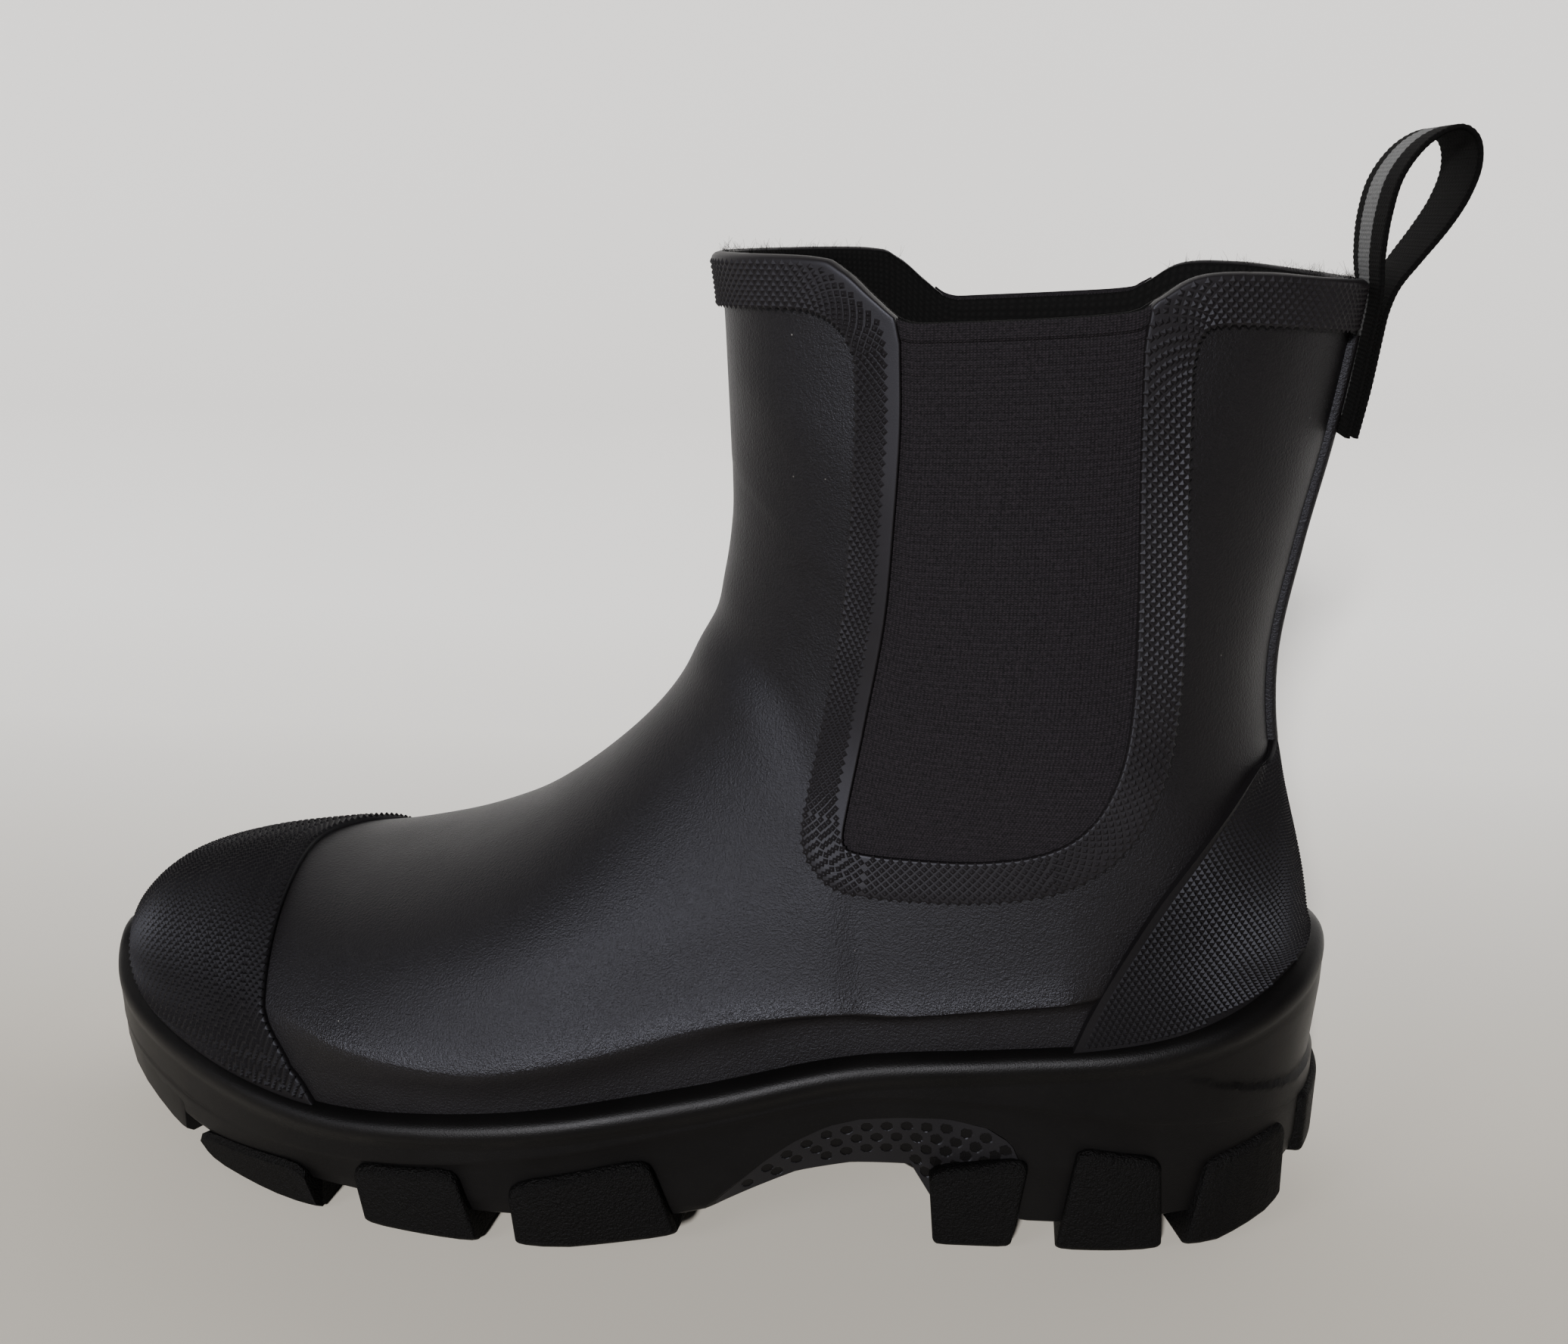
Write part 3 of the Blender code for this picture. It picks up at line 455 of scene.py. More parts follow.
toe_blocks = smoothed(joined("toe_blocks", *[lug_block(LUGS[0], side) for side in (-1, 1)]), 32)
dressed(toe_blocks, sole_finish)
blocks = [lug_block(row, side) for row in LUGS[1:] for side in (-1, 1)] + [heel_tab()]
lugs = smoothed(joined("sole_lugs", *blocks), 32)
lug_finish = moulded_rubber("lug_rubber", (0.0010, 0.0009, 0.0009), (0.0018, 0.0017, 0.0017), (0.5, 0.65),
                            grain=0.65, grain_rise=0.8, dust=0.35, specular=0.06, sheen=(0.95, 0.95, 1.0))
dressed(lugs, lug_finish)

# Arch panels. A lens-shaped field of round pits moulded into the scooped waist of the sole, on both sides,
# each pit a little blind hole about two millimetres wide, in rows that follow the top of the arch.
PIT_WIDE, PIT_DEEP, PIT_STEP, PIT_ROWS_APART = 2.0, 1.8, 4.0, 2.9
PIT_FROM, PIT_DROP, PIT_ROWS, PITS_IN_ROW = 20.0, 3.0, 5, 15
PANEL_PROUD, PANEL_FOOT = 0.14, 1.3
arch_x = np.linspace(17.5, 79.2, 226)
arch_up = np.linspace(0, 1, 72)


def arch_panel(side):
    at = plan_at(arch_x)
    scoop = arch_scoop(arch_x)
    tread = straight_on(TREAD_LINE, arch_x)
    low = tread + PANEL_FOOT
    high = np.maximum(tread + ARCH_LIP, straight_on(ARCH_LINE, arch_x)) - 0.55
    z = low[:, None] + (high - low)[:, None] * arch_up
    inset = (2.4 + ARCH_DEEP * scoop)[:, None] * (1 - arch_up) + (2.1 + 0.4 * ARCH_DEEP * scoop)[:, None] * arch_up
    x = np.broadcast_to(arch_x[:, None], z.shape)
    pit = np.zeros_like(z)
    for row in range(PIT_ROWS):
        for step in range(PITS_IN_ROW):
            pit_x = PIT_FROM + PIT_STEP * (step + 0.5 * (row % 2))
            pit_z = straight_on(ARCH_LINE, pit_x) - PIT_DROP - PIT_ROWS_APART * row
            if pit_z - 1.4 > straight_on(TREAD_LINE, pit_x) + PANEL_FOOT:
                away = np.hypot(x - pit_x, z - pit_z) / (PIT_WIDE / 2)
                pit = np.maximum(pit, np.clip((1.1 - away) / 0.2, 0, 1))
    inset = inset - PANEL_PROUD + PIT_DEEP * pit
    edge = np.stack([sole_edge(inset[:, k], side, at) for k in range(len(arch_up))], 1)
    return laid_grid("arch", np.concatenate([edge, z[..., None]], -1), flip=side > 0)


arches = smoothed(joined("arch_panels", arch_panel(-1), arch_panel(1)), 60)
# Painted light: the panel's rubber is painted about twice as light as the rest of the sole, although it is the
# same rubber as the sole.
arch_painted_light_rubber = moulded_rubber("arch_rubber", (0.0030, 0.0026, 0.0027), (0.0044, 0.0040, 0.0042), (0.42, 0.5),
                             grain=0.2, grain_rise=0.03)
dressed(arches, arch_painted_light_rubber)

# Upper. One wall of black rubber moulded over a last: round toe, full forepart, a soft shoulder line round
# the foot that turns crisp towards the heel, and a straight shaft with a window at each side for the elastic.
LAST = (  # base x and z, ridge x, z and y, outer and inner half width, height of the widest place, squareness
    (-137.4, 26.0, -137.4, 26.5, 8.0, 8.0, 8.0, 0.30, 2.0),
    (-135.6, 25.2, -135.8, 40.5, 8.0, 0.0, 16.0, 0.30, 2.0),
    (-130.0, 22.8, -130.5, 48.6, 7.8, -8.6, 24.6, 0.30, 2.0),
    (-120.0, 20.2, -121.0, 55.3, 7.5, -18.6, 32.8, 0.30, 2.1),
    (-105.0, 18.0, -106.0, 59.9, 7.0, -28.8, 39.4, 0.31, 2.1),
    (-88.0, 17.0, -89.0, 62.2, 6.5, -37.6, 44.6, 0.33, 2.15),
    (-69.0, 16.4, -70.0, 64.3, 6.0, -44.2, 48.0, 0.36, 2.15),
    (-46.0, 18.2, -50.0, 69.5, 5.5, -48.4, 48.6, 0.36, 2.1),
    (-18.0, 21.8, -30.0, 79.2, 5.0, -48.9, 45.4, 0.34, 2.0),
    (14.0, 27.0, -12.2, 92.6, 4.0, -44.6, 39.6, 0.32, 1.95),
    (48.0, 34.0, 0.8, 106.2, 3.0, -40.2, 37.0, 0.28, 1.95),
    (82.0, 37.0, 9.0, 120.6, 2.0, -38.4, 37.2, 0.28, 2.0),
    (112.0, 40.8, 13.6, 134.0, 1.2, -37.4, 37.0, 0.33, 2.05),
    (130.5, 46.0, 15.6, 146.0, 0.8, -37.0, 37.0, 0.42, 2.1),
    (137.6, 50.0, 15.9, 155.5, 0.6, -37.0, 37.0, 0.46, 2.15),
    (138.0, 60.0, 15.8, 159.2, 0.6, -36.9, 36.9, 0.47, 2.2),
    (134.7, 75.0, 15.7, 163.6, 0.5, -36.8, 36.8, 0.48, 2.2),
    (127.2, 97.0, 15.6, 170.0, 0.4, -36.6, 36.6, 0.49, 2.2),
    (124.6, 119.0, 15.5, 177.0, 0.2, -36.6, 36.6, 0.50, 2.25),
    (127.2, 142.0, 15.3, 184.0, 0.1, -36.8, 36.8, 0.50, 2.25),
    (130.8, 163.0, 14.9, 190.5, 0.0, -37.0, 37.0, 0.50, 2.25),
    (133.4, 183.0, 13.9, 198.0, 0.0, -37.2, 37.2, 0.50, 2.25),
    (135.4, 202.0, 12.6, 207.0, 0.0, -37.2, 37.2, 0.50, 2.25),
)
HEEL_ROW = 14
TOP_ROW = len(LAST) - 1
WALL_SHARE = 5 / 11
FEATHER_INSET = 4.8
feather_rows = np.linspace(0, HEEL_TIP, 600)
feather = [sole_edge(np.full(600, FEATHER_INSET), side, feather_rows) for side in (-1, 1)]


def last_rows(at):
    """Values of the last between its rows, with the place of its base edge on both sides."""
    rows = np.asarray(LAST, float)
    tip = 2 * rows[0] - rows[1]
    tip[[0, 1, 2]] = rows[1][[0, 1, 2]]
    at = np.asarray(at, float)
    values = eased(np.vstack([tip, rows]), at + 1)
    seam = at >= HEEL_ROW
    heel_y = PLAN[-1][1] * np.clip((TOP_ROW - at) / (TOP_ROW - HEEL_ROW), 0, 1)
    values[..., 0] = np.where(seam, values[..., 0], np.minimum(values[..., 0], LAST[HEEL_ROW][0]))
    bases = [np.where(seam, heel_y, np.interp(values[..., 0], *edge.T)) for edge in feather]
    return np.concatenate([values, bases[0][..., None], bases[1][..., None]], -1)


def last_point(at, along):
    """Places on the last: row, and share of the section from the outer base (0) over the ridge (0.5)."""
    base_x, base_z, ridge_x, ridge_z, ridge_y, outer, inner, wide_at, square, base_out, base_in = (
        np.moveaxis(last_rows(at), -1, 0))
    along = np.asarray(along, float)
    sign = np.where(along < 0.5, -1.0, 1.0)
    half = 1 - np.abs(2 * along - 1)
    middle = (base_out + base_in) / 2
    wide_half = np.maximum(np.abs(np.where(sign < 0, outer, inner) - middle), 1e-6)
    base_half = np.minimum(np.abs(np.where(sign < 0, base_out, base_in) - middle), 0.999 * wide_half)
    start = np.arcsin(base_half / wide_half)
    turn = start + (math.pi / 2 - start) * np.clip(half / WALL_SHARE, 0, 1)
    rise = np.clip((half - WALL_SHARE) / (1 - WALL_SHARE), 0, 1) * math.pi / 2
    y_low = middle + sign * wide_half * np.sin(turn)
    a_low = wide_at * (1 - np.cos(turn) / np.cos(start))
    y_high = ridge_y + (middle + sign * wide_half - ridge_y) * np.maximum(np.cos(rise), 0) ** (2 / square)
    a_high = wide_at + (1 - wide_at) * np.sin(rise) ** (2 / square)
    low = half < WALL_SHARE
    a = np.where(low, a_low, a_high)
    return np.stack([base_x + a * (ridge_x - base_x), np.where(low, y_low, y_high),
                     base_z + a * (ridge_z - base_z)], -1)


def last_normal(at, along):
    """Outward direction of the last at given places on it."""
    at, along = np.broadcast_arrays(np.asarray(at, float), np.asarray(along, float))
    step = 3e-3
    by_row = last_point(np.minimum(at + step, TOP_ROW), along) - last_point(np.maximum(at - step, 0.02), along)
    by_along = last_point(at, np.minimum(along + step, 1)) - last_point(at, np.maximum(along - step, 0))
    normal = np.cross(by_row, by_along)
    normal[(at >= HEEL_ROW) & ((along <= 0) | (along >= 1)), 1] = 0
    normal[at <= 0] = (-1, 0, 0)
    return normal / np.maximum(np.linalg.norm(normal, axis=-1, keepdims=True), 1e-9)


SHOULDER = ((-142, 47.0), (-110, 46.0), (-78.6, 43.8), (-70, 42.6), (-61.3, 41.2), (-44.9, 39.9), (-32, 39.8),
            (-23.9, 41.0), (-4.3, 45.2), (15.1, 50.4), (40.4, 54.3), (49.9, 54.0), (69.9, 56.2), (89.8, 58.8),
            (110, 62.0), (140, 67.0))
CREASES = (  # side view path, depth (minus is a trough), half width, side of the boot
    (((9, 127), (16, 123), (23, 119), (31, 109), (35, 98)), -0.7, 5.0, -1),
    (((2, 119), (12, 115), (22, 110)), 0.5, 5.0, -1),
    (((45, 76), (46, 66), (47.5, 56)), -0.75, 3.6, -1),
    (((38, 74), (38.5, 64), (40, 55)), 0.35, 5.0, -1),
    (((9, 128), (18, 122), (29, 110)), -0.6, 6.0, 1),
    (((-30, 70), (-22, 60), (-18, 50)), -0.3, 8.0, 1),
)
COLLAR = ((4, 197.2), (34, 197.0), (41, 195.0), (47, 190.2), (52, 186.8), (60, 186.6), (88, 188.0),
          (94, 189.8), (101, 193.6), (112, 193.9), (124, 192.6), (140, 190.6))
GORE_EDGE = ((51.5, 196.0), (51.8, 182.0), (52.0, 168.0), (51.0, 150.0), (49.4, 132.0), (46.0, 113.0),
             (42.9, 96.0), (41.9, 88.8), (42.9, 86.6), (47.0, 85.9), (54.0, 85.7), (68.0, 86.2),
             (80.5, 88.9), (88.4, 94.4), (93.0, 103.5), (94.8, 116.0), (94.6, 136.0), (93.4, 160.0),
             (92.6, 182.0), (92.6, 196.0))
GORE_LEAN, SIDE_Y = 0.074, 37.0
UPPER_WALL, WINDOW_WIDER, UNDER_COLLAR, UNDER_BEAD = 2.0, 1.6, 1.2, 5.3
RUBBED_WIDE, RUBBED_GLOSS = 4.0, 0.16


def leaned(points):
    """Side-view place of points, with the backward lean of the gores and collar taken off."""
    return points[..., 0] - GORE_LEAN * (points[..., 1] + SIDE_Y)


def moved_out(points, distance):
    """A side-view line moved sideways, away from the gore."""
    run = unit(np.gradient(points, axis=0))
    return points + np.column_stack([run[:, 1], -run[:, 0]]) * distance


def inside_outline(x, z, outline):
    """Which side-view places lie inside a closed outline."""
    found = np.zeros(x.shape, bool)
    for (x0, z0), (x1, z1) in zip(outline, np.roll(outline, -1, axis=0)):
        if z0 != z1:
            found ^= ((z0 > z) != (z1 > z)) & (x < (x1 - x0) * (z - z0) / (z1 - z0) + x0)
    return found


def relief(points):
    """Height of the shoulder line and of the soft creases over the plain last."""
    x, y, z = np.moveaxis(points, -1, 0)
    above = z - height_on(SHOULDER, x)
    crisp = np.clip((x - 8) / 36, 0, 1)
    crisp = crisp * crisp * (3 - 2 * crisp)
    fade = np.clip((x + 96) / 34, 0, 1) * np.clip((97 - x) / 11, 0, 1)
    up, down = np.maximum(above, 0), np.maximum(-above, 0)
    soft = np.where(above > 0, 1.4 * np.exp(-(up / 4.2) ** 1.6) + 0.7 * np.exp(-(up / 13) ** 1.4),
                    2.1 * np.exp(-(down / 4.4) ** 1.7)) - 0.6 * np.exp(-((above - 12) / 7) ** 2)
    ledge = np.where(above > 0, 1.2 * np.exp(-(up / 4.2) ** 1.3) + 1.6 * np.exp(-(up / 15) ** 1.3),
                     3.3 * np.exp(-(down / 1.4) ** 2) - 0.5)
    low_fade = np.clip(1 + (above + 6) / 8, 0, 1)
    total = fade * (soft * (1 - crisp) + ledge * crisp * np.where(above > 0, 1, low_fade))
    for path, depth, half, side in CREASES:
        path = curved(path, 8)
        away = np.full(x.shape, 1e9)
        for a, b in zip(path, path[1:]):
            run = b - a
            t = np.clip(((x - a[0]) * run[0] + (z - a[1]) * run[1]) / (run @ run), 0, 1)
            away = np.minimum(away, np.hypot(x - a[0] - t * run[0], z - a[1] - t * run[1]))
        total += depth * np.exp(-(away / half) ** 2) * np.clip(0.5 + y * side / 16, 0, 1)
    return total


def cleared(piece, drop):
    """Deletes the faces of a grid for which drop, a test on their corners in millimetres, is true."""
    gone = drop(in_millimetres(corners_of(piece)))
    joined(piece.name, piece)
    bpy.ops.object.mode_set(mode="EDIT")
    bpy.ops.mesh.select_mode(type="VERT")
    bpy.ops.mesh.select_all(action="DESELECT")
    bpy.ops.object.mode_set(mode="OBJECT")
    piece.data.vertices.foreach_set("select", gone)
    bpy.ops.object.mode_set(mode="EDIT")
    bpy.ops.mesh.delete(type="VERT")
    bpy.ops.object.mode_set(mode="OBJECT")
    return piece


def shoulder_share(at, side):
    """Share of the section at which each row crosses the shoulder line, so that a row of corners lies on it."""
    half = np.linspace(0.0, 0.3, 301)
    points = last_point(at[:, None], half if side < 0 else 1 - half)
    over = points[..., 2] > height_on(SHOULDER, points[..., 0])
    crossing = half[np.where(over.any(1), over.argmax(1), 300)]
    smooth = np.convolve(np.pad(crossing, 2, mode="edge"), np.ones(5) / 5, mode="valid")
    return np.clip(smooth, 0.012, 0.3)


upper_at = np.concatenate([[0.0, 0.12, 0.3, 0.55, 0.8], np.linspace(1.05, TOP_ROW, 215)])
below = np.linspace(0, 1, 15)[:-1] ** 0.8
over = np.linspace(0, 1, 48) ** 1.35
halves = []
for upper_side in (-1, 1):
    cross = shoulder_share(upper_at, upper_side)[:, None]
    halves.append(np.hstack([cross * below, cross + (0.5 - cross) * over]))
upper_along = np.hstack([halves[0], 1 - halves[1][:, ::-1][:, 1:]])
upper_at = np.broadcast_to(upper_at[:, None], upper_along.shape)
upper_points = last_point(upper_at, upper_along)
upper_points = upper_points + last_normal(upper_at, upper_along) * relief(upper_points)[..., None]
window = moved_out(curved(GORE_EDGE, 6), WINDOW_WIDER)


def not_upper(p):
    """What the collar, the bead and the gore windows cut away."""
    too_high = (p[:, 2] > height_on(COLLAR, leaned(p)) - UNDER_COLLAR) & (p[:, 0] > -30)
    too_low = p[:, 2] < bead_height(p[:, 0]) - UNDER_BEAD
    return too_high | too_low | inside_outline(leaned(p), p[:, 2], window)


upper = welded(laid_grid("upper_wall", upper_points), turned_out=False)
cleared(upper, not_upper)
smoothed(applied(upper, "SOLIDIFY", thickness=UPPER_WALL / 1000, offset=-1), 60)
upper_finish = moulded_rubber("upper_rubber", (0.0031, 0.0026, 0.0026), (0.0043, 0.0037, 0.0038), (0.44, 0.54),
                              grain=0.5, grain_rise=0.24, specular=0.18)
dressed(upper, upper_finish)
# Wear has rubbed the rubber glossier along the shoulder line
x, _, z = in_millimetres(corners_of(upper)).T
rubbed = np.exp(-((z - height_on(SHOULDER, x) - 0.5) / RUBBED_WIDE) ** 2) * np.clip((x + 84) / 24, 0, 1)
upper.data.attributes.new("rubbed", "FLOAT", "POINT").data.foreach_set("value", rubbed)
roughness = upper_finish.node_tree.nodes["Principled BSDF"].inputs["Roughness"]
worn = add_node(upper_finish, "Attribute", (("attribute_name", "rubbed"),))
glossy = worked_out(upper_finish, "MULTIPLY_ADD", worn, -RUBBED_GLOSS, roughness.links[0].from_socket)
upper_finish.node_tree.links.new(glossy, roughness)
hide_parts("upper")

# Lining. A sleeve of thin black knit with fine upright ribs, pulled over the last first, so that the rubber of
# the wall bonds to it. It runs from the foot bed up to the cut edge of the collar.
LINING_UNDER, LINING_THICK, LINING_DROP, LINING_FOOT = 2.2, 0.7, 0.35, 4.8


def side_place(at, along):
    """Side-view place of points of the last, as the collar and gore lines are drawn."""
    points = last_point(at, along)
    return np.stack([leaned(points), points[..., 2]], -1)


def by_height(along, rule, drop=0.0):
    """Rows at which given shares of the section meet a line that is drawn in side view."""
    at = np.full(np.shape(along), 20.6)
    for _ in range(14):
        here = side_place(at, along)
        slope = (side_place(np.minimum(at + 1e-2, TOP_ROW), along) - side_place(at - 1e-2, along)) / 2e-2
        miss = height_on(rule, here[..., 0]) - drop - here[..., 1]
        at = np.clip(at + miss / np.maximum(slope[..., 1], 0.5), 15, TOP_ROW)
    return at


lining_along = np.linspace(0, 1, 261)
lining_top = by_height(lining_along, COLLAR, LINING_DROP)
lining_at = 1.2 + (lining_top - 1.2) * np.linspace(0, 1, 120)[:, None]
lining_along = np.broadcast_to(lining_along, lining_at.shape)
lining_points = last_point(lining_at, lining_along) - LINING_UNDER * last_normal(lining_at, lining_along)
lining = welded(laid_grid("lining", lining_points), turned_out=False)
cleared(lining, lambda p: p[:, 2] < bead_height(p[:, 0]) - LINING_FOOT)
smoothed(applied(lining, "SOLIDIFY", thickness=LINING_THICK / 1000, offset=-1))


def ribbed_cloth(name, dark, light, ribs, rib_rise, stitches, thread=None):
    """Knitted or woven black cloth: ribs and stitches along its UV map, loose fibre, a few coloured threads and
    painted shade.
    """
    look = bpy.data.materials.new(name)
    look.use_nodes = True
    link = look.node_tree.links.new
    shader = look.node_tree.nodes["Principled BSDF"]
    for socket, value in (("Specular IOR Level", 0.06), ("Sheen Weight", 0.005), ("Sheen Roughness", 0.5)):
        shader.inputs[socket].default_value = value
    place = look.node_tree.nodes.new("ShaderNodeTexCoord")
    cloud = add_node(look, "TexNoise", Vector=place.outputs["Object"], Scale=2600.0, Detail=2.0)
    waves = [add_node(look, "TexWave", (("bands_direction", way),), Vector=place.outputs["UV"],
                      Scale=count * math.pi / 10, Distortion=0.4, Detail=1.0, Detail_Scale=3.0)
             for count, way in ((ribs, "X"), (stitches, "Y"))]
    cell = worked_out(look, "MULTIPLY", *waves)
    # Painted shade: the colour follows the height of the weave and is darker in the low places between ribs and
    # stitches; the noise adds loose fibre tone.
    shade = worked_out(look, "MULTIPLY_ADD", cell, 0.45, cloud)
    stops = [(0.35, dark), (0.85, light)] + ([(0.93, thread)] if thread else [])
    link(ramp(look, shade, *stops), shader.inputs["Base Color"])
    link(add_node(look, "MapRange", Value=cloud, To_Min=0.75, To_Max=1.0), shader.inputs["Roughness"])
    height = worked_out(look, "MULTIPLY_ADD", cloud, 0.5, cell)
    link(add_node(look, "Bump", Height=height, Strength=0.7, Distance=rib_rise / 1000), shader.inputs["Normal"])
    return look


lining_finish = ribbed_cloth("lining_knit", (0.0010, 0.0010, 0.0011), (0.0028, 0.0027, 0.0028), 190, 0.12, 240)
dressed(lining, lining_finish)

# Insole. A foot bed of thin foam under black cloth, die cut to the inside of the last and laid loose on the
# seat of the sole, its edge turned up a little against the wall.
BED_INSET, BED_THICK, BED_SUNK, BED_CUP = 7.6, 2.6, 2.6, 1.0
insole_at = np.linspace(0.35, HEEL_TIP - 0.3, 150)
insole_t = np.linspace(0, 1, 26)
bed_sides = [sole_edge(np.full(len(insole_at), BED_INSET), side, insole_at) for side in (-1, 1)]
bed = bed_sides[0][:, None] * (1 - insole_t)[:, None] + bed_sides[1][:, None] * insole_t[:, None]
bed_z = bead_height(bed[..., 0]) - BED_SUNK + BED_CUP * np.abs(2 * insole_t - 1) ** 4
insole = laid_grid("insole_bed", np.concatenate([bed, bed_z[..., None]], -1))
smoothed(applied(insole, "SOLIDIFY", thickness=BED_THICK / 1000, offset=-1), 50)
insole_finish = ribbed_cloth("insole_cloth", (0.009, 0.009, 0.0092), (0.016, 0.0155, 0.016), 260, 0.12, 80)
dressed(insole, insole_finish)
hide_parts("insole")

# Gores. A panel of black ribbed elastic at each side, its edges trapped under the trim and its top folded
# over into a narrow hem that closes the collar between the two ends of the trim.
RIB_PITCH, RIB_RISE, RIB_STEPS = 1.28, 0.2, 5
GORE_SINK, GORE_THICK, GORE_TRAPPED, GORE_HEAD, HEM_DEEP, HEM_RISE = 0.1, 0.8, 2.7, 186.6, 3.6, 0.5


def found_on_last(x, z, side):
    """Row and share of the section of side-view places on one side of the boot, by Newton steps."""
    low, high = (0.0008, 0.4992) if side < 0 else (0.5008, 0.9992)
    guess_at, guess_along = [g.ravel() for g in np.meshgrid(
        np.linspace(7, TOP_ROW, 91), np.linspace(low, high, 61), indexing="ij")]
    guess = side_place(guess_at, guess_along)
    target = np.stack([np.ravel(x), np.ravel(z)], -1)
    near = np.concatenate([np.argmin(((part[:, None] - guess[None]) ** 2).sum(-1), axis=1)
                           for part in np.array_split(target, len(target) // 1500 + 1)])
    at, along = guess_at[near], guess_along[near]
    for _ in range(9):
        miss = target - side_place(at, along)
        by_at = (side_place(at + 1e-3, along) - side_place(at - 1e-3, along)) / 2e-3
        by_along = (side_place(at, along + 2e-4) - side_place(at, along - 2e-4)) / 4e-4
        area = by_at[:, 0] * by_along[:, 1] - by_at[:, 1] * by_along[:, 0]
        area = np.where(np.abs(area) < 1e-6, 1e-6, area)
        d_at = (miss[:, 0] * by_along[:, 1] - miss[:, 1] * by_along[:, 0]) / area
        d_along = (by_at[:, 0] * miss[:, 1] - by_at[:, 1] * miss[:, 0]) / area
        at = np.clip(at + np.clip(d_at, -0.4, 0.4), 0.5, TOP_ROW)
        along = np.clip(along + np.clip(d_along, -0.03, 0.03), low, high)
    return at.reshape(np.shape(x)), along.reshape(np.shape(x))


gore_line = moved_out(curved(GORE_EDGE, 12), GORE_TRAPPED)
lowest = gore_line[:, 1].argmin()
gore_foot = gore_line[lowest, 1] + 0.05
rib_count = int((GORE_HEAD - 0.1 - gore_foot) / RIB_PITCH)
gore_up = np.linspace(0, 1, rib_count * RIB_STEPS + 1)
gore_across = np.linspace(0, 1, 46)


def gore_panel(side):
    level = gore_foot + (GORE_HEAD - gore_foot) * gore_up
    front = np.interp(level, gore_line[:lowest + 1, 1][::-1], gore_line[:lowest + 1, 0][::-1])
    back = np.interp(level, gore_line[lowest:, 1], gore_line[lowest:, 0])
    x = front[:, None] + (back - front)[:, None] * gore_across
    z = gore_foot + (height_on(COLLAR, x) - 0.2 - gore_foot) * gore_up[:, None]
    at, along = found_on_last(x, z, side)
    under = height_on(COLLAR, x) - z
    hem = np.clip((HEM_DEEP - under) / 0.5, 0, 1)
    rib = np.abs(np.sin(math.pi * rib_count * gore_up))[:, None] ** 0.7
    lift = -GORE_SINK + RIB_RISE * rib * (1 - hem) + HEM_RISE * hem
    hem_seam = np.exp(-((under - HEM_DEEP - 0.15) / 0.3) ** 2)
    lift = lift - 0.25 * hem_seam - 0.9 * np.clip((0.9 - under) / 0.9, 0, 1) ** 2
    points = last_point(at, along) + last_normal(at, along) * lift[..., None]
    panel = laid_grid("gore", points, flip=True)
    return applied(panel, "SOLIDIFY", thickness=GORE_THICK / 1000, offset=-1)


gore_finish = ribbed_cloth("gore_elastic", (0.0032, 0.0029, 0.0035), (0.0120, 0.0104, 0.0126),
                           3 * rib_count, 0.25, 76, thread=(0.0156, 0.0122, 0.0150))
for gore_name, gore_side in (("gore_lateral", -1), ("gore_medial", 1)):
    gore = smoothed(gore_panel(gore_side))
    gore.name = gore.data.name = gore_name + "_elastic"
    dressed(gore, gore_finish)
    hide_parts(gore_name)

# Trim. A rubber tape about eight millimetres wide, embossed with small diamonds, bonded round the collar, down
# the front edge of each gore, under it and up the other edge. Its top turns in over the cut edge of the collar.
BAND_FRONT = ((4, 187.4), (18, 187.9), (32, 188.2), (37, 187.4), (40.6, 185.2), (42.8, 181.0))
BAND_BACK = ((100.8, 179.0), (101.6, 183.6), (104.5, 185.6), (116, 185.0), (128, 183.4), (142, 181.2))
BAND_WIDE, BAND_HIGH, BAND_STEP = 8.2, 1.3, 0.9
STUD_LONG, STUD_ROWS, STUD_RISE, STUD_SUNK, STUD_TIP = 1.85, 9, 0.38, 0.12, 0.15
FIRST_ON_COLLAR, FIRST_AT_GORE, WIDER_IN_FRONT, LAST_ROW = 0.13, 0.07, 0.25, 0.94
GORE_CORNER, CORNER_RUN = (42.3, 87.2), 8.0


def run_along(points):
    """Distance along a line at each of its places."""
    return np.concatenate([[0], np.cumsum(np.linalg.norm(np.diff(points, axis=0), axis=1))])


def taken_at(where, run, values):
    """Rows of values read off at distances along a line."""
    return np.column_stack([np.interp(where, run, values[:, k]) for k in range(values.shape[1])])


def spread(points, steps):
    """A line of places set out again in even steps."""
    points = np.asarray(points, float)
    run = run_along(points)
    return taken_at(np.linspace(0, run[-1], steps), run, points)


def on_collar(x_from, x_to, steps):
    xs = np.linspace(x_from, x_to, steps)
    return np.column_stack([xs, height_on(COLLAR, xs)])


gore_run = spread([place for place in curved(GORE_EDGE, 40) if place[1] < 183.0], 230)
wide_run = moved_out(gore_run, BAND_WIDE)
front_half = np.arange(len(wide_run)) < len(wide_run) // 2
for part, top in ((front_half, 180.4), (~front_half, 178.4)):
    high = part & (wide_run[:, 1] > 172)
    wide_run[high, 1] = 172 + (wide_run[high, 1] - 172) * (top - 172) / (wide_run[part, 1].max() - 172)
near_gore = np.vstack([on_collar(34, 50.4, 22), spread([(50.9, 187.0), gore_run[0]], 6)[:-1], gore_run,
                       spread([gore_run[-1], (93.3, 189.0)], 6)[1:], on_collar(93.9, 105, 18)])
far_gore = np.vstack([spread([p for p in curved(BAND_FRONT, 12) if 33 <= p[0] <= 41.2], 22),
                      spread([(41.4, 184.4), wide_run[0]], 6)[:-1], wide_run,
                      spread([wide_run[-1], (101.2, 182.0)], 6)[1:],
                      spread([p for p in curved(BAND_BACK, 12) if p[0] <= 105.5 and p[1] > 182.5], 18)])
collar_share = np.concatenate([np.linspace(1, 0.15, 22), np.linspace(0.15, 0, 5), np.zeros(len(gore_run)),
                               np.linspace(0, 0.15, 5), np.linspace(0.15, 1, 18)])


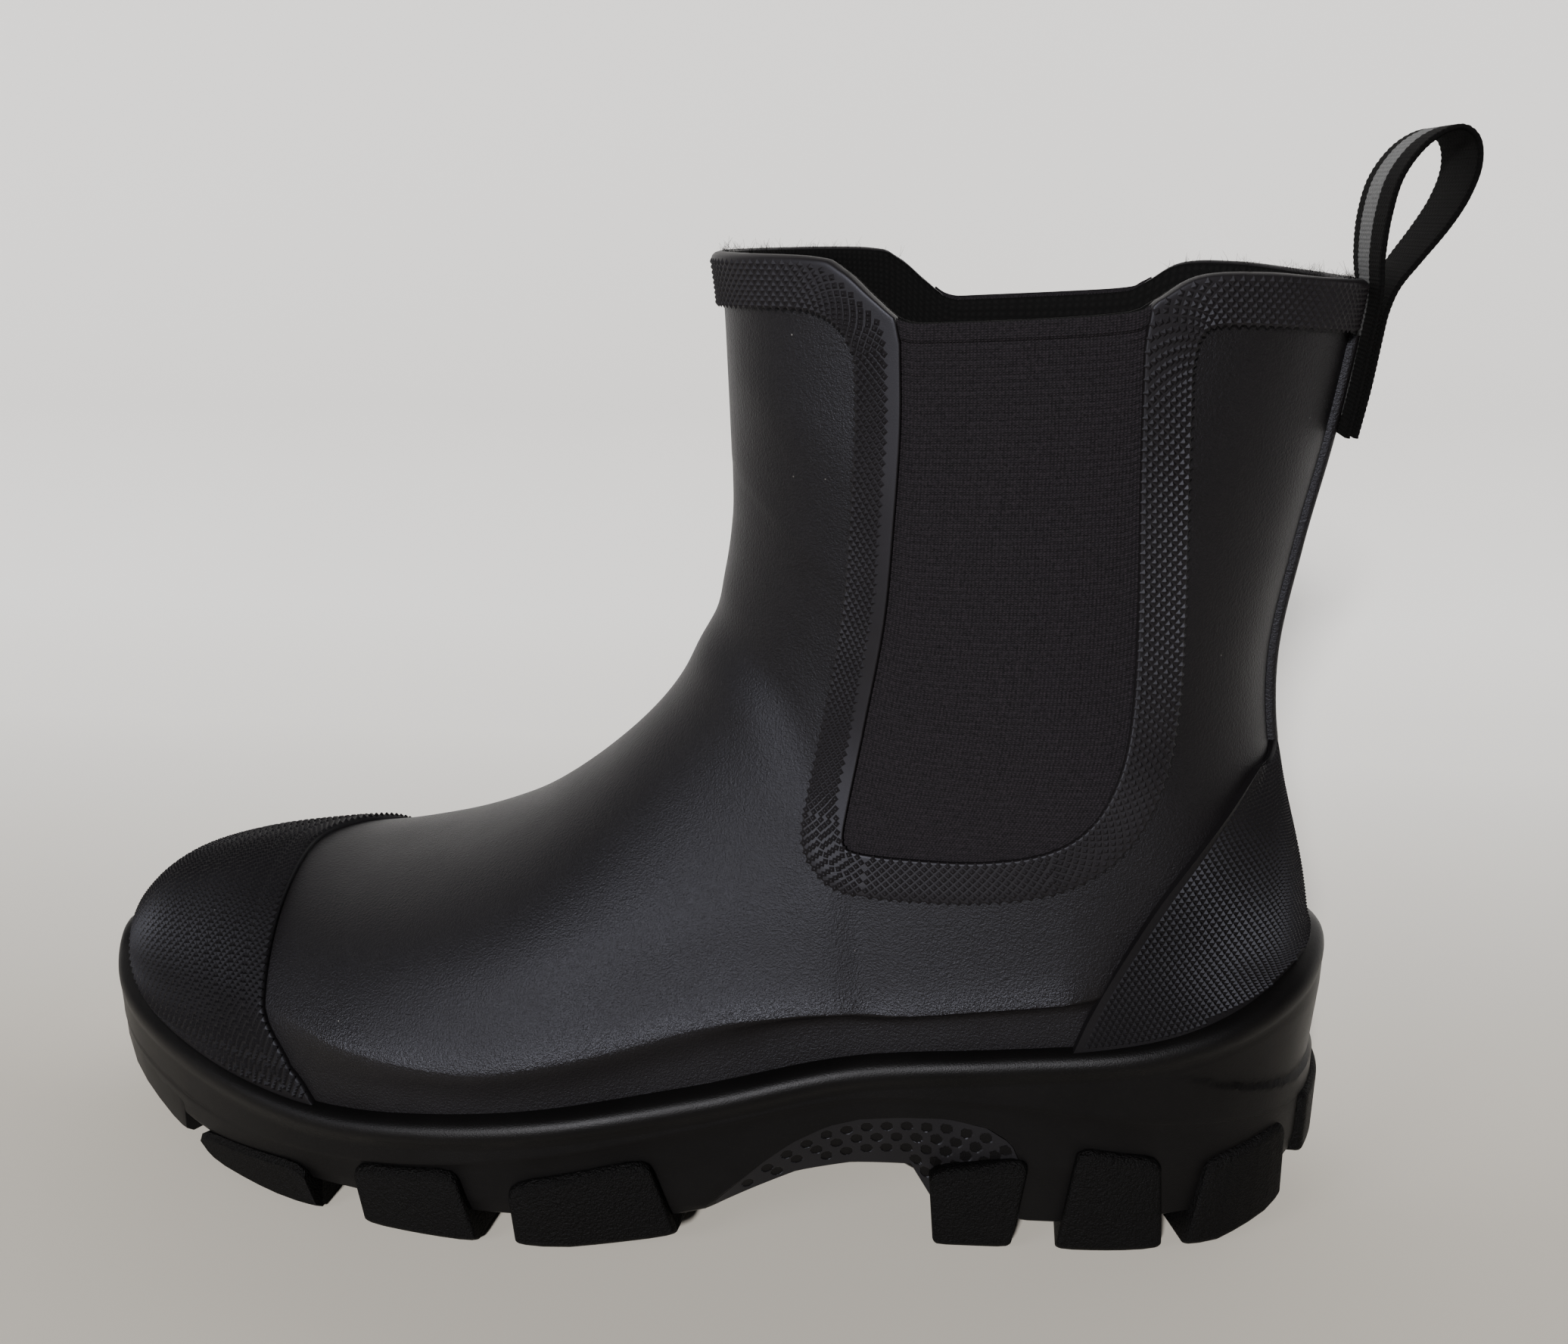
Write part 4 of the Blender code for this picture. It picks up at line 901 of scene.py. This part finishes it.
def evened(track):
    """A line of values with single strays taken out."""
    beside = np.stack([np.pad(track, 2, mode="edge")[k:k + len(track)] for k in range(5)])
    return np.median(beside, 0)


def band_half(side):
    """Inner and outer edge of the tape on one side, from the front of the collar to its back seam."""
    tracks, drawn = [], []
    for line, rule_front, rule_back in ((near_gore, COLLAR, COLLAR), (far_gore, BAND_FRONT, BAND_BACK)):
        at, along = found_on_last(line[:, 0], line[:, 1], side)
        front = np.linspace(0.5, along[0], 42)[:-1]
        back = np.linspace(along[-1], 0.0 if side < 0 else 1.0, 42)[1:]
        at = np.concatenate([by_height(front, rule_front), at, by_height(back, rule_back)])
        track = np.column_stack([at, np.concatenate([front, along, back])])
        tracks.append(track)
        drawn.append(np.vstack([side_place(*track[:41].T), line, side_place(*track[-41:].T)]))
    top = np.concatenate([np.ones(41), collar_share, np.ones(41)])
    middle = last_point(*((tracks[0] + tracks[1]) / 2).T)
    run = run_along(middle)
    even = np.linspace(0, run[-1], int(run[-1] / BAND_STEP))
    beside = (even > run[41]) & (even < run[-42])
    set_out = []
    for track, line in zip(tracks, drawn):
        found = taken_at(even, run, track)
        spots = taken_at(even[beside], run, line)
        found[beside] = np.column_stack([evened(values) for values in found_on_last(*spots.T, side)])
        set_out.append(found)
    return set_out[0], set_out[1], np.interp(even, run, top), even


def band_place(near, far, t):
    """Row and share of the section at share t of the tape's width."""
    mixed = near * (1 - t) + far * t
    return np.clip(mixed[:, 0], 0.5, TOP_ROW), np.clip(mixed[:, 1], 0, 1)


BAND_SECTION = (  # share of the width and height over the upper, on the collar and beside the gore
    (1.0, -0.3, 1.0, -0.3), (1.0, 0.5, 1.0, 0.5), (0.99, 0.95, 0.99, 0.95), (0.97, 1.2, 0.97, 1.2),
    (0.94, 1.3, 0.94, 1.3), (0.7, 1.3, 0.7, 1.3), (0.4, 1.3, 0.45, 1.3), (0.15, 1.3, 0.25, 1.3),
    (0.12, 1.3, 0.19, 1.3), (0.1, 1.3, 0.13, 1.3), (0.07, 1.28, 0.07, 1.3), (0.04, 1.18, 0.03, 1.29),
    (0.015, 1.0, 0.01, 1.24), (0.0, 0.75, 0.0, 1.08),
    (-0.02, 0.4, 0.0, 0.4), (-0.03, -0.4, 0.0, -0.1), (-0.02, -1.3, 0.0, -0.5), (0.01, -2.1, 0.0, -0.9),
    (0.07, -2.5, 0.0, -1.3),
)


def band_grid(side):
    near, far, top, _ = band_half(side)
    rows = []
    for t_top, h_top, t_gore, h_gore in BAND_SECTION:
        t = (top * t_top + (1 - top) * t_gore)[:, None]
        at, along = band_place(near, far, t)
        lift = top * h_top + (1 - top) * h_gore
        rows.append(last_point(at, along) + last_normal(at, along) * lift[:, None])
    return laid_grid("band", np.stack(rows, 1), flip=side > 0)


def studs(name, centres, normals, forward, half_long, half_wide, rise, turn=0):
    """Small four-sided pyramids with blunt tips, all set out from one block, standing on a surface."""
    block = begun(name, bpy.ops.mesh.primitive_cone_add, vertices=4, radius1=1, radius2=STUD_TIP, depth=1,
                  end_fill_type="NGON")
    shape = corners_of(block)
    spin = math.radians(turn)
    shape[:, :2] = shape[:, :2] @ np.array([[math.cos(spin), math.sin(spin)], [-math.sin(spin), math.cos(spin)]])
    faces = [tuple(face.vertices) for face in block.data.polygons]
    forward = unit(forward - (forward * normals).sum(-1, keepdims=True) * normals)
    across = np.cross(normals, forward)
    up = (shape[:, 2] + 0.5) * (rise + STUD_SUNK) - STUD_SUNK
    places = (centres[:, None] + forward[:, None] * (shape[:, 0] * half_long)[:, None]
              + across[:, None] * (shape[:, 1] * half_wide)[:, None] + normals[:, None] * up[:, None])
    many = [tuple(k + len(shape) * copy for k in face) for copy in range(len(centres)) for face in faces]
    block.data.clear_geometry()
    block.data.from_pydata(in_metres(places.reshape(-1, 3)), [], many)
    block.data.update()
    return block


def band_studs(side):
    near, far, top, run = band_half(side)
    corner = run[np.hypot(*(side_place(*near.T) - GORE_CORNER).T).argmin()]
    centres, normals, forward = [], [], []

    def row_places(where, row):
        edges = [taken_at(where, run, track) for track in (near, far)]
        spot = side_place(*edges[0].T)
        in_front = np.clip((spot[:, 1] - 88) / 8, 0, 1) * (spot[:, 0] < 60)
        on_top = np.interp(where, run, top)
        first = FIRST_ON_COLLAR * on_top + (FIRST_AT_GORE + WIDER_IN_FRONT * in_front) * (1 - on_top)
        return band_place(*edges, (first + (LAST_ROW - first) * row / (STUD_ROWS - 1))[:, None])

    for row in range(STUD_ROWS):
        where = np.arange(STUD_LONG * (0.25 + 0.5 * (row % 2)), run[-1], STUD_LONG)
        turn = np.linspace(corner - CORNER_RUN, corner + CORNER_RUN, 120)
        length = run_along(last_point(*row_places(turn, row)))
        fit = max(2, round(length[-1] / STUD_LONG))
        inside = np.interp((np.arange(fit) + 0.25 + 0.5 * (row % 2)) / fit * length[-1], length, turn)
        where = np.sort(np.concatenate([where[np.abs(where - corner) > CORNER_RUN], inside]))
        at, along = row_places(where, row)
        normal = last_normal(at, along)
        centre = last_point(at, along) + normal * BAND_HIGH
        centres.append(centre)
        normals.append(normal)
        forward.append(np.gradient(centre, axis=0))
    return studs("band_diamonds", np.vstack(centres), np.vstack(normals), np.vstack(forward),
                 STUD_LONG * 0.5, STUD_LONG * 0.47, STUD_RISE)


band_plain = welded(joined("band_plain", band_grid(-1), band_grid(1)), turned_out=False)
smoothed(band_plain, 60)
band = joined("trim_tape", band_plain, band_studs(-1), band_studs(1))
trim_finish = moulded_rubber("trim_rubber", (0.0042, 0.0035, 0.0037), (0.0062, 0.0053, 0.0056), (0.46, 0.58),
                             grain=0.2, grain_rise=0.03, specular=0.2)
dressed(band, trim_finish)
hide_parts("trim_band")

# Toe cap. A rubber guard bonded over the toe, covered with small pyramids in rows that follow its back edge,
# which ends in a plain step and a short tongue on the ridge of the foot.
CAP_EDGE = ((0.0, -63.0), (0.107, -68.2), (0.19, -71.5), (0.235, -74.5), (0.276, -79.0), (0.31, -80.9),
            (0.368, -83.1), (0.429, -85.2), (0.49, -87.1), (0.52, -86.2), (0.548, -83.8), (0.59, -79.6),
            (0.66, -75.6), (0.76, -71.4), (0.89, -67.0), (1.0, -63.0))
GUARD_PROUD, PYRAMID_STEP, PYRAMID_RISE, PYRAMID_FOOT = 1.3, 1.32, 0.52, 1.3
CAP_PYRAMID, CAP_FIRST = 0.91, 0.9
guard_finish = moulded_rubber("guard_rubber", (0.0026, 0.0022, 0.0023), (0.0040, 0.0035, 0.0037), (0.48, 0.6),
                              grain=0.2, grain_rise=0.03, specular=0.15)
trial_rows = np.linspace(0, 12, 1201)
trial_x = last_rows(trial_rows)[:, 0]


def cap_limits(along):
    """Rows of the bead line and of the cap's back edge for each share of the section."""
    edge = np.interp(np.interp(along, *curved(CAP_EDGE, 30).T), trial_x, trial_rows)
    rows = np.linspace(0.02, 1, 300)[:, None] * edge
    points = last_point(rows, np.broadcast_to(along, rows.shape))
    under = points[..., 2] < bead_height(points[..., 0]) - 1.0
    last_under = 299 - under[::-1].argmax(0)
    start = np.where(under.any(0), rows[np.minimum(last_under, 299), np.arange(len(along))], rows[0])
    return np.where(under[-1], edge, start), edge


cap_along = np.linspace(0.1, 0.9, 181)
cap_from, cap_to = cap_limits(cap_along)


def cap_place(rows, lift):
    """Places of the cap at shares of the way from the bead to its back edge, raised over the last."""
    at = cap_from + (cap_to - cap_from) * rows[:, None]
    along = np.broadcast_to(cap_along, at.shape)
    points = last_point(at, along)
    return points + last_normal(at, along) * (lift[:, None] + relief(points))[..., None]


def cap_raised(rows):
    """Height of the cap over the upper, thinner towards its foot."""
    return GUARD_PROUD * (0.4 + 0.6 * np.clip(rows / 0.14, 0, 1))


def pyramid_rows(points, edge_first, step, apart, stagger):
    """Places, facing and run of pyramids, in rows at even distances from the first row of a grid of places."""
    facing = unit(np.cross(np.gradient(points, axis=1), np.gradient(points, axis=0)))
    away = np.cumsum(np.linalg.norm(np.diff(points, axis=0, prepend=points[:1]), axis=-1), 0)
    both = np.concatenate([points, facing], -1)
    found = []
    for row in range(int((away.max() - edge_first) / apart)):
        depth = edge_first + row * apart
        columns = np.flatnonzero(away[-1] > depth)
        if len(columns) < 4:
            continue
        line = np.array([[np.interp(depth, away[:, c], both[:, c, k]) for k in range(6)] for c in columns])
        line = np.hstack([line, np.gradient(line[:, :3], axis=0)])
        run = run_along(line[:, :3])
        where = np.arange(step * (0.25 + stagger * (row % 2)), run[-1], step)
        broken = np.diff(columns)[np.clip(np.searchsorted(run, where) - 1, 0, len(columns) - 2)] > 1
        found.append(taken_at(where[~broken], run, line))
    found = np.vstack(found)
    found = found[found[:, 2] > bead_height(found[:, 0]) + PYRAMID_FOOT]
    return found[:, :3], unit(found[:, 3:6]), found[:, 6:]


cap_rows = np.linspace(0, 0.985, 80)
cap_edge = np.array([0.993, 0.998, 1.0, 1.0])
cap_points = np.vstack([cap_place(cap_rows, cap_raised(cap_rows)),
                        cap_place(cap_edge, np.array([GUARD_PROUD - 0.1, GUARD_PROUD - 0.4, 0.5, -0.4]))])
cap_plate = smoothed(welded(laid_grid("cap_plate", cap_points), turned_out=False), 40)
stud_rows = np.linspace(1, 0, 160)
cap_set = pyramid_rows(cap_place(stud_rows, cap_raised(stud_rows)), CAP_FIRST, 1.414 * PYRAMID_STEP,
                       0.707 * PYRAMID_STEP, 0.5)
cap_studs = studs("cap_pyramids", *cap_set, CAP_PYRAMID, CAP_PYRAMID, PYRAMID_RISE)
cap = joined("toe_guard", cap_plate, cap_studs)
dressed(cap, guard_finish)
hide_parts("toe_cap")

# Heel counter. A rubber guard of the same pyramids wrapped round the back of the heel, standing on the bead,
# with a narrow smooth rim on its slanting front edges.
COUNTER_EDGE = ((86.0, 40.0), (87.6, 45.5), (91.0, 55.5), (96.2, 67.0), (102.8, 79.2), (109.4, 88.6),
                (115.2, 95.2), (121.2, 100.6), (126.0, 102.4))
COUNTER_ROWS, COUNTER_COLUMNS = 90, 80
COUNTER_TOP, COUNTER_PYRAMID, COUNTER_FIRST, COUNTER_PROUDER = 102.5, 0.9, 2.3, 0.25


def counter_side(side):
    """Rows and shares of one half of the guard, from its front edge to the back seam."""
    edge = spread([p for p in curved(COUNTER_EDGE, 20) if p[1] > bead_height(p[0]) - 1.2], COUNTER_ROWS)
    far = edge[:, 0] < 121.0
    x, z = edge[far].T
    y = side * SIDE_Y
    for _ in range(5):
        at, along = found_on_last(x - GORE_LEAN * (y + SIDE_Y), z, side)
        y = last_point(at, along)[..., 1]
    seam_share = 0.0 if side < 0 else 1.0
    rows = np.linspace(13.9, 18.5, 900)
    seam_z = last_point(rows, np.full(900, seam_share))[:, 2]
    seam_foot = bead_height(138.0) - 1.0
    seam = np.interp(np.linspace(seam_foot, COUNTER_TOP, COUNTER_ROWS), seam_z, rows)
    missing = COUNTER_ROWS - far.sum()
    t = np.linspace(0, 1, missing + 1)[1:]
    at = np.concatenate([at, at[-1] + (seam[-1] - at[-1]) * t])
    along = np.concatenate([along, along[-1] + (seam_share - along[-1]) * t])
    c = np.linspace(0, 1, COUNTER_COLUMNS)
    foot_at = at[0] + (seam[0] - at[0]) * c
    trial = np.linspace(0, 0.3, 900)
    foot_points = last_point(foot_at[:, None], trial if side < 0 else 1 - trial)
    over = foot_points[..., 2] >= bead_height(foot_points[..., 0]) - 1.0
    foot_along = trial[over.argmax(1)]
    foot_along = foot_along if side < 0 else 1 - foot_along
    foot_along[0], foot_along[-1] = along[0], seam_share
    foot_run = run_along(last_point(foot_at, foot_along))
    even = c * foot_run[-1]
    foot_at, foot_along = np.interp(even, foot_run, foot_at), np.interp(even, foot_run, foot_along)
    r = np.linspace(0, 1, COUNTER_ROWS)[:, None]
    grids = []
    seam_along = np.full(COUNTER_ROWS, seam_share)
    for front, back, foot, peak in ((at, seam, foot_at, seam[-1]), (along, seam_along, foot_along, seam_share)):
        lofted = front[:, None] * (1 - c) + back[:, None] * c + foot * (1 - r) + peak * r
        corners = (front[0] * (1 - c) + back[0] * c) * (1 - r) + peak * r
        grids.append(lofted - corners)
    return grids[0], np.clip(grids[1], 0, 1)


def relaxed(points, rounds):
    """A grid of places evened out inside its edges."""
    for _ in range(rounds):
        points = points.copy()
        points[1:-1, 1:-1] = (points[:-2, 1:-1] + points[2:, 1:-1] + points[1:-1, :-2] + points[1:-1, 2:]) / 4
    return points


guard_halves = [counter_side(-1), counter_side(1)]
guard_at, guard_along = (np.hstack([guard_halves[0][k], guard_halves[1][k][:, ::-1][:, 1:]]) for k in (0, 1))
guard_lift = (GUARD_PROUD + COUNTER_PROUDER) * last_normal(guard_at, guard_along)
guard_points = relaxed(last_point(guard_at, guard_along) + guard_lift, 220)
skirt = []
for column in (0, -1):
    edge = guard_at[:, column], guard_along[:, column]
    skirt.append([last_point(*edge) + rise * last_normal(*edge) for rise in (-0.4, 0.5, 1.15)])
plate_points = np.stack(skirt[0] + list(np.moveaxis(guard_points, 1, 0)) + skirt[1][::-1], 1)
counter_plate = smoothed(welded(laid_grid("counter_plate", plate_points, flip=True), turned_out=False), 45)
half_points = guard_points[:, :COUNTER_COLUMNS], guard_points[:, ::-1][:, :COUNTER_COLUMNS]
counter_pyramids = []
for guard_side, half in zip((-1, 1), half_points):
    places, facing, run = pyramid_rows(half.transpose(1, 0, 2), COUNTER_FIRST, PYRAMID_STEP, PYRAMID_STEP, 0.0)
    counter_pyramids.append(studs("guard_pyramids", places, guard_side * facing, run, COUNTER_PYRAMID,
                                  COUNTER_PYRAMID, PYRAMID_RISE, turn=45))
counter = joined("heel_guard", counter_plate, *counter_pyramids)
dressed(counter, guard_finish)
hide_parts("heel_counter")

# Back strip. A narrow flat rib of rubber that covers the back seam of the shaft, bonded on from the top of the
# heel guard up to the trim, where the webbing of the pull loop lies over it.
STRIP_HALF, STRIP_OUT = 6.0, 1.9
strip_z = np.linspace(101.5, 182.0, 120)
strip_t = np.concatenate([[-1.0, -1.0, -0.97, -0.9], np.linspace(-0.8, 0.8, 13), [0.9, 0.97, 1.0, 1.0]])
strip_lift = np.concatenate([[-0.3, 0.8, 1.4, 1.75], np.full(13, STRIP_OUT), [1.75, 1.4, 0.8, -0.3]])
seam_rows = np.linspace(HEEL_ROW, TOP_ROW, 1500)
strip_at = np.interp(strip_z, last_point(seam_rows, np.zeros(1500))[:, 2], seam_rows)
small = np.linspace(0, 0.12, 200)
strip_points = np.empty((len(strip_z), len(strip_t), 3))
for k, row_at in enumerate(strip_at):
    for sign in (-1, 1):
        shares = small if sign < 0 else 1 - small
        wide = np.abs(last_point(np.full(200, row_at), shares)[:, 1])
        pick = (strip_t < 0) if sign < 0 else (strip_t >= 0)
        share = np.interp(np.abs(strip_t[pick]) * STRIP_HALF, wide, small)
        share = share if sign < 0 else 1 - share
        rows_here = np.full(pick.sum(), row_at)
        strip_points[k, pick] = (last_point(rows_here, share)
                                 + last_normal(rows_here, share) * strip_lift[pick][:, None])
strip = smoothed(laid_grid("seam_strip", strip_points, flip=True), 50)
dressed(strip, upper_finish)
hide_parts("back_strip")

# Pull loop. Black polyester webbing with a woven-in grey stripe, folded into a loop and fixed by its two
# ends, one over the other, on the back of the shaft. Cross ribs of the weave show as a fine saw edge.
LOOP_PATH = ((133.6, 163.4), (134.9, 172.0), (135.9, 181.0), (136.5, 187.0), (136.4, 191.0), (135.8, 196.0),
             (135.9, 203.0), (137.3, 209.8), (141.0, 215.2), (145.8, 217.6), (149.0, 215.7), (149.9, 211.2),
             (148.6, 206.0), (146.0, 201.0), (142.1, 195.2), (139.3, 190.8), (138.0, 186.5), (137.4, 181.5),
             (136.4, 172.3), (135.05, 163.4))
WEB_WIDE, WEB_THICK, WEB_PITCH, WEB_TWIST, WEAVE_DEEP, RIB_PARTS = 18.0, 1.05, 1.05, 5.0, 0.12, 6
STRIPE_FROM, STRIPE_TO = -0.22, 0.56
web_path = curved(LOOP_PATH, 10)
web_run = run_along(web_path)
web_steps = int(web_run[-1] / WEB_PITCH) * RIB_PARTS
even = np.linspace(0, web_run[-1], web_steps + 1)
web_path = taken_at(even, web_run, web_path)
free = np.clip((np.minimum(even, even[::-1]) / web_run[-1] - 0.16) / 0.2, 0, 1)
twist = np.radians(WEB_TWIST) * free * free * (3 - 2 * free)
web_dir = unit(np.gradient(web_path, axis=0))
web_across = np.column_stack([-np.sin(twist), np.cos(twist), 0 * twist])
web_along = np.column_stack([web_dir[:, 0], 0 * twist, web_dir[:, 1]])
web_out = unit(np.cross(web_along, web_across))
web_middle = np.column_stack([web_path[:, 0], 0 * twist, web_path[:, 1]])
face = np.linspace(-0.94, 0.94, 26)
edge = np.array([(0.985, 0.6), (1.0, 0.0), (0.985, -0.6)])
front_face, back_face = np.column_stack([face, np.ones(26)]), np.column_stack([face[::-1], -np.ones(26)])
section = np.vstack([front_face, edge, back_face, -edge, front_face[:1]])
rib = np.abs(np.sin(math.pi * even / (web_run[-1] / (web_steps / RIB_PARTS))))
web_points = np.empty((len(even), len(section), 3))
for k, (a, b) in enumerate(section):
    wave = rib if k % 2 else np.roll(rib, RIB_PARTS // 2)
    half_wide = WEB_WIDE / 2 * a * (1 + 0.012 * (rib - 1) * (abs(a) > 0.9))
    half_thick = b * (WEB_THICK / 2 - WEAVE_DEEP * (1 - wave))
    web_points[:, k] = web_middle + web_across * half_wide[:, None] + web_out * half_thick[:, None]
ends = [row.mean(0).reshape(1, 1, 3).repeat(len(section), 1) for row in (web_points[0], web_points[-1])]
loop = laid_grid("webbing_loop", np.concatenate([ends[0], web_points, ends[1]]))
loop_finish = ribbed_cloth("webbing", (0.0005, 0.0005, 0.0005), (0.0014, 0.0013, 0.0014), 150, 0.1, 60)
stripe_finish = ribbed_cloth("webbing_stripe", (0.085, 0.086, 0.088), (0.152, 0.153, 0.155), 150, 0.1, 60)
dressed(loop, loop_finish)
loop.data.materials.append(stripe_finish)
stripe_columns = [k for k in range(25) if STRIPE_FROM <= (section[k, 0] + section[k + 1, 0]) / 2 <= STRIPE_TO]
for cell in loop.data.polygons:
    spot = np.mean([loop.data.uv_layers[0].data[k].uv[:] for k in cell.loop_indices], axis=0)
    if int(spot[1] * (len(section) - 1)) in stripe_columns and 0.03 < spot[0] < 0.97:
        cell.material_index = 1
smoothed(welded(loop), 50)
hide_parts("pull_loop")

# Collar fibres. Short loose ends of the knit, thinner than a hair at their tips, that stand up along the cut
# edge at the top of the collar, some single and some in small tufts.
FIBRES_A_SIDE, TUFTS_A_SIDE = 420, 26
FIBRE_LEVELS, FIBRE_TURNS = (0, 0.35, 0.7, 1.0), (0, 2.094, 4.189)
rng = np.random.RandomState(5)
fibres = []
for fibre_side in (-1, 1):
    near, _, top, _ = band_half(fibre_side)
    collar_steps = np.flatnonzero(top > 0.5)
    tufts = rng.choice(collar_steps, TUFTS_A_SIDE)
    for number in range(FIBRES_A_SIDE):
        k = rng.choice(collar_steps) if number % 3 == 0 else rng.choice(tufts) + rng.randint(-2, 3)
        at, along = near[[int(np.clip(k, 0, len(near) - 1))]].T
        root = (last_point(at, along) - last_normal(at, along) * rng.uniform(0.6, 2.2))[0]
        lean = rng.normal(0, 0.55, 3)
        lean[2] = abs(lean[2]) * 0.4 + 0.5
        reach = rng.uniform(0.4, 1.7)
        bend = rng.normal(0, 0.5, 3) * reach
        path = [root + lean * reach * t + bend * t * t for t in FIBRE_LEVELS]
        fibres.append((path, rng.uniform(0.03, 0.055)))
corners, strand_faces = [], []
for path, thick in fibres:
    first = len(corners)
    for level, place in enumerate(path):
        size = thick * (1 - 0.6 * level / 3)
        corners += [place + size * np.array([math.cos(turn), math.sin(turn), 0]) for turn in FIBRE_TURNS]
    for level in range(3):
        for k in range(3):
            a, b = first + 3 * level + k, first + 3 * level + (k + 1) % 3
            strand_faces.append((a, b, b + 3, a + 3))
    strand_faces += [(first + 2, first + 1, first), (first + 9, first + 10, first + 11)]
fuzz = begun("collar_fibres", bpy.ops.mesh.primitive_circle_add, vertices=3)
fuzz.data.clear_geometry()
fuzz.data.from_pydata(in_metres(corners), [], strand_faces)
fuzz.data.update()
dressed(smoothed(fuzz), lining_finish)

# Stage. A plain sweep of paper under and behind the boot, its colour painted palest just behind it and darker on
# the floor in front and up the wall, as painted light and shade; one lamp like a low sun in front, two weaker soft
# lamps at the left, and the camera where the photograph was taken from.
BACK_Y, SWEEP_ROUND, FRONT_Y, HALF_WIDE, TALL = 1.05, 0.8, -3.0, 3.0, 1.6
turns = np.linspace(0, math.pi / 2, 24)
profile = [(FRONT_Y, 0.0), (-0.2, 0.0), (0.2, 0.0)]
profile += [(BACK_Y - SWEEP_ROUND * (1 - math.sin(t)), SWEEP_ROUND * (1 - math.cos(t))) for t in turns]
profile += [(BACK_Y, TALL)]
sweep = begun("paper_sweep", bpy.ops.mesh.primitive_grid_add, x_subdivisions=2, y_subdivisions=len(profile) - 1,
              size=2)
for corner in sweep.data.vertices:
    k = round((corner.co.y + 1) / 2 * (len(profile) - 1))
    corner.co = (corner.co.x * HALF_WIDE, profile[k][0], profile[k][1])
smoothed(sweep)
paper = bpy.data.materials.new("pale_paper")
paper.use_nodes = True
paper_shader = paper.node_tree.nodes["Principled BSDF"]
paper_shader.inputs["Roughness"].default_value = 0.9
paper_shader.inputs["Specular IOR Level"].default_value = 0.1
paper_place = paper.node_tree.nodes.new("ShaderNodeTexCoord").outputs["Object"]
paper_back = add_node(paper, "SeparateXYZ", Vector=paper_place).node.outputs["Y"]
paper_cloud = add_node(paper, "TexNoise", Vector=paper_place, Scale=9.0, Detail=5.0)
paper_far = add_node(paper, "MapRange", Value=paper_back, From_Min=-0.1, From_Max=1.1)
paper_mixed = worked_out(paper, "MULTIPLY_ADD", paper_cloud, 0.02, paper_far)
# Painted light and shade: the paper's colour goes by its depth, darker on the floor in front, palest just behind
# the boot and darker again up the wall; the noise adds a slight unevenness of its own.
paper_painted_shading = ramp(paper, paper_mixed, (0.08, (0.52, 0.489, 0.437)), (0.3, (0.92, 0.905, 0.875)),
                  (0.42, (0.86, 0.85, 0.835)), (0.6, (0.63, 0.62, 0.61)), (0.95, (0.54, 0.532, 0.524)))
paper.node_tree.links.new(paper_painted_shading, paper_shader.inputs["Base Color"])
sweep.data.materials.append(paper)


def lamp(name, kind, place, aim, size, power, colour):
    """A soft lamp that looks at a point of the boot."""
    bpy.ops.object.light_add(type=kind, location=place)
    made = bpy.context.object
    made.name = name
    if kind == "SUN":
        made.data.angle = size
    else:
        made.data.size = size
    made.data.energy = power
    made.data.color = colour
    look = np.array(place) - np.array(aim)
    made.rotation_euler = (math.acos(look[2] / np.linalg.norm(look)), 0, math.atan2(look[0], -look[1]))


lamp("key", "SUN", (-0.26, -1.35, 0.54), (0, 0, 0), math.radians(7), 7.5, (1.0, 0.985, 0.965))
lamp("side", "AREA", (-1.0, -0.95, 0.5), (-0.03, 0, 0.06), 0.5, 5.0, (0.97, 0.98, 1.0))
lamp("left", "AREA", (-1.3, 0.3, 1.2), (-0.03, 0, 0.08), 0.8, 0.7, (0.93, 0.95, 1.0))
world = bpy.context.scene.world or bpy.data.worlds.new("room")
bpy.context.scene.world = world
world.use_nodes = True
room = world.node_tree.nodes["Background"].inputs
room["Color"].default_value = (0.95, 0.96, 1.0, 1)
room["Strength"].default_value = 0.07

AZIMUTH, PITCH, ROLL, FOCAL = math.radians(8.29), math.radians(17.90), math.radians(-0.55), 1882.65
VIEW_FROM, PHOTO_WIDE, SENSOR = (67.54, -286.87, 204.58), 2072, 36
ahead = np.array([-math.sin(AZIMUTH) * math.cos(PITCH), math.cos(AZIMUTH) * math.cos(PITCH), -math.sin(PITCH)])
right = np.array([math.cos(AZIMUTH), math.sin(AZIMUTH), 0])
upward = np.cross(right, ahead)
right, upward = (math.cos(ROLL) * right + math.sin(ROLL) * upward,
                 math.cos(ROLL) * upward - math.sin(ROLL) * right)
bpy.ops.object.camera_add()
camera = bpy.context.object
camera.data.sensor_width = SENSOR
camera.data.lens = FOCAL / PHOTO_WIDE * SENSOR
camera.data.clip_start = 0.01
turned = np.eye(4)
turned[:3] = np.column_stack([right, upward, -ahead, in_metres(VIEW_FROM)])
camera.matrix_world = Matrix(turned.tolist())
bpy.context.scene.camera = camera
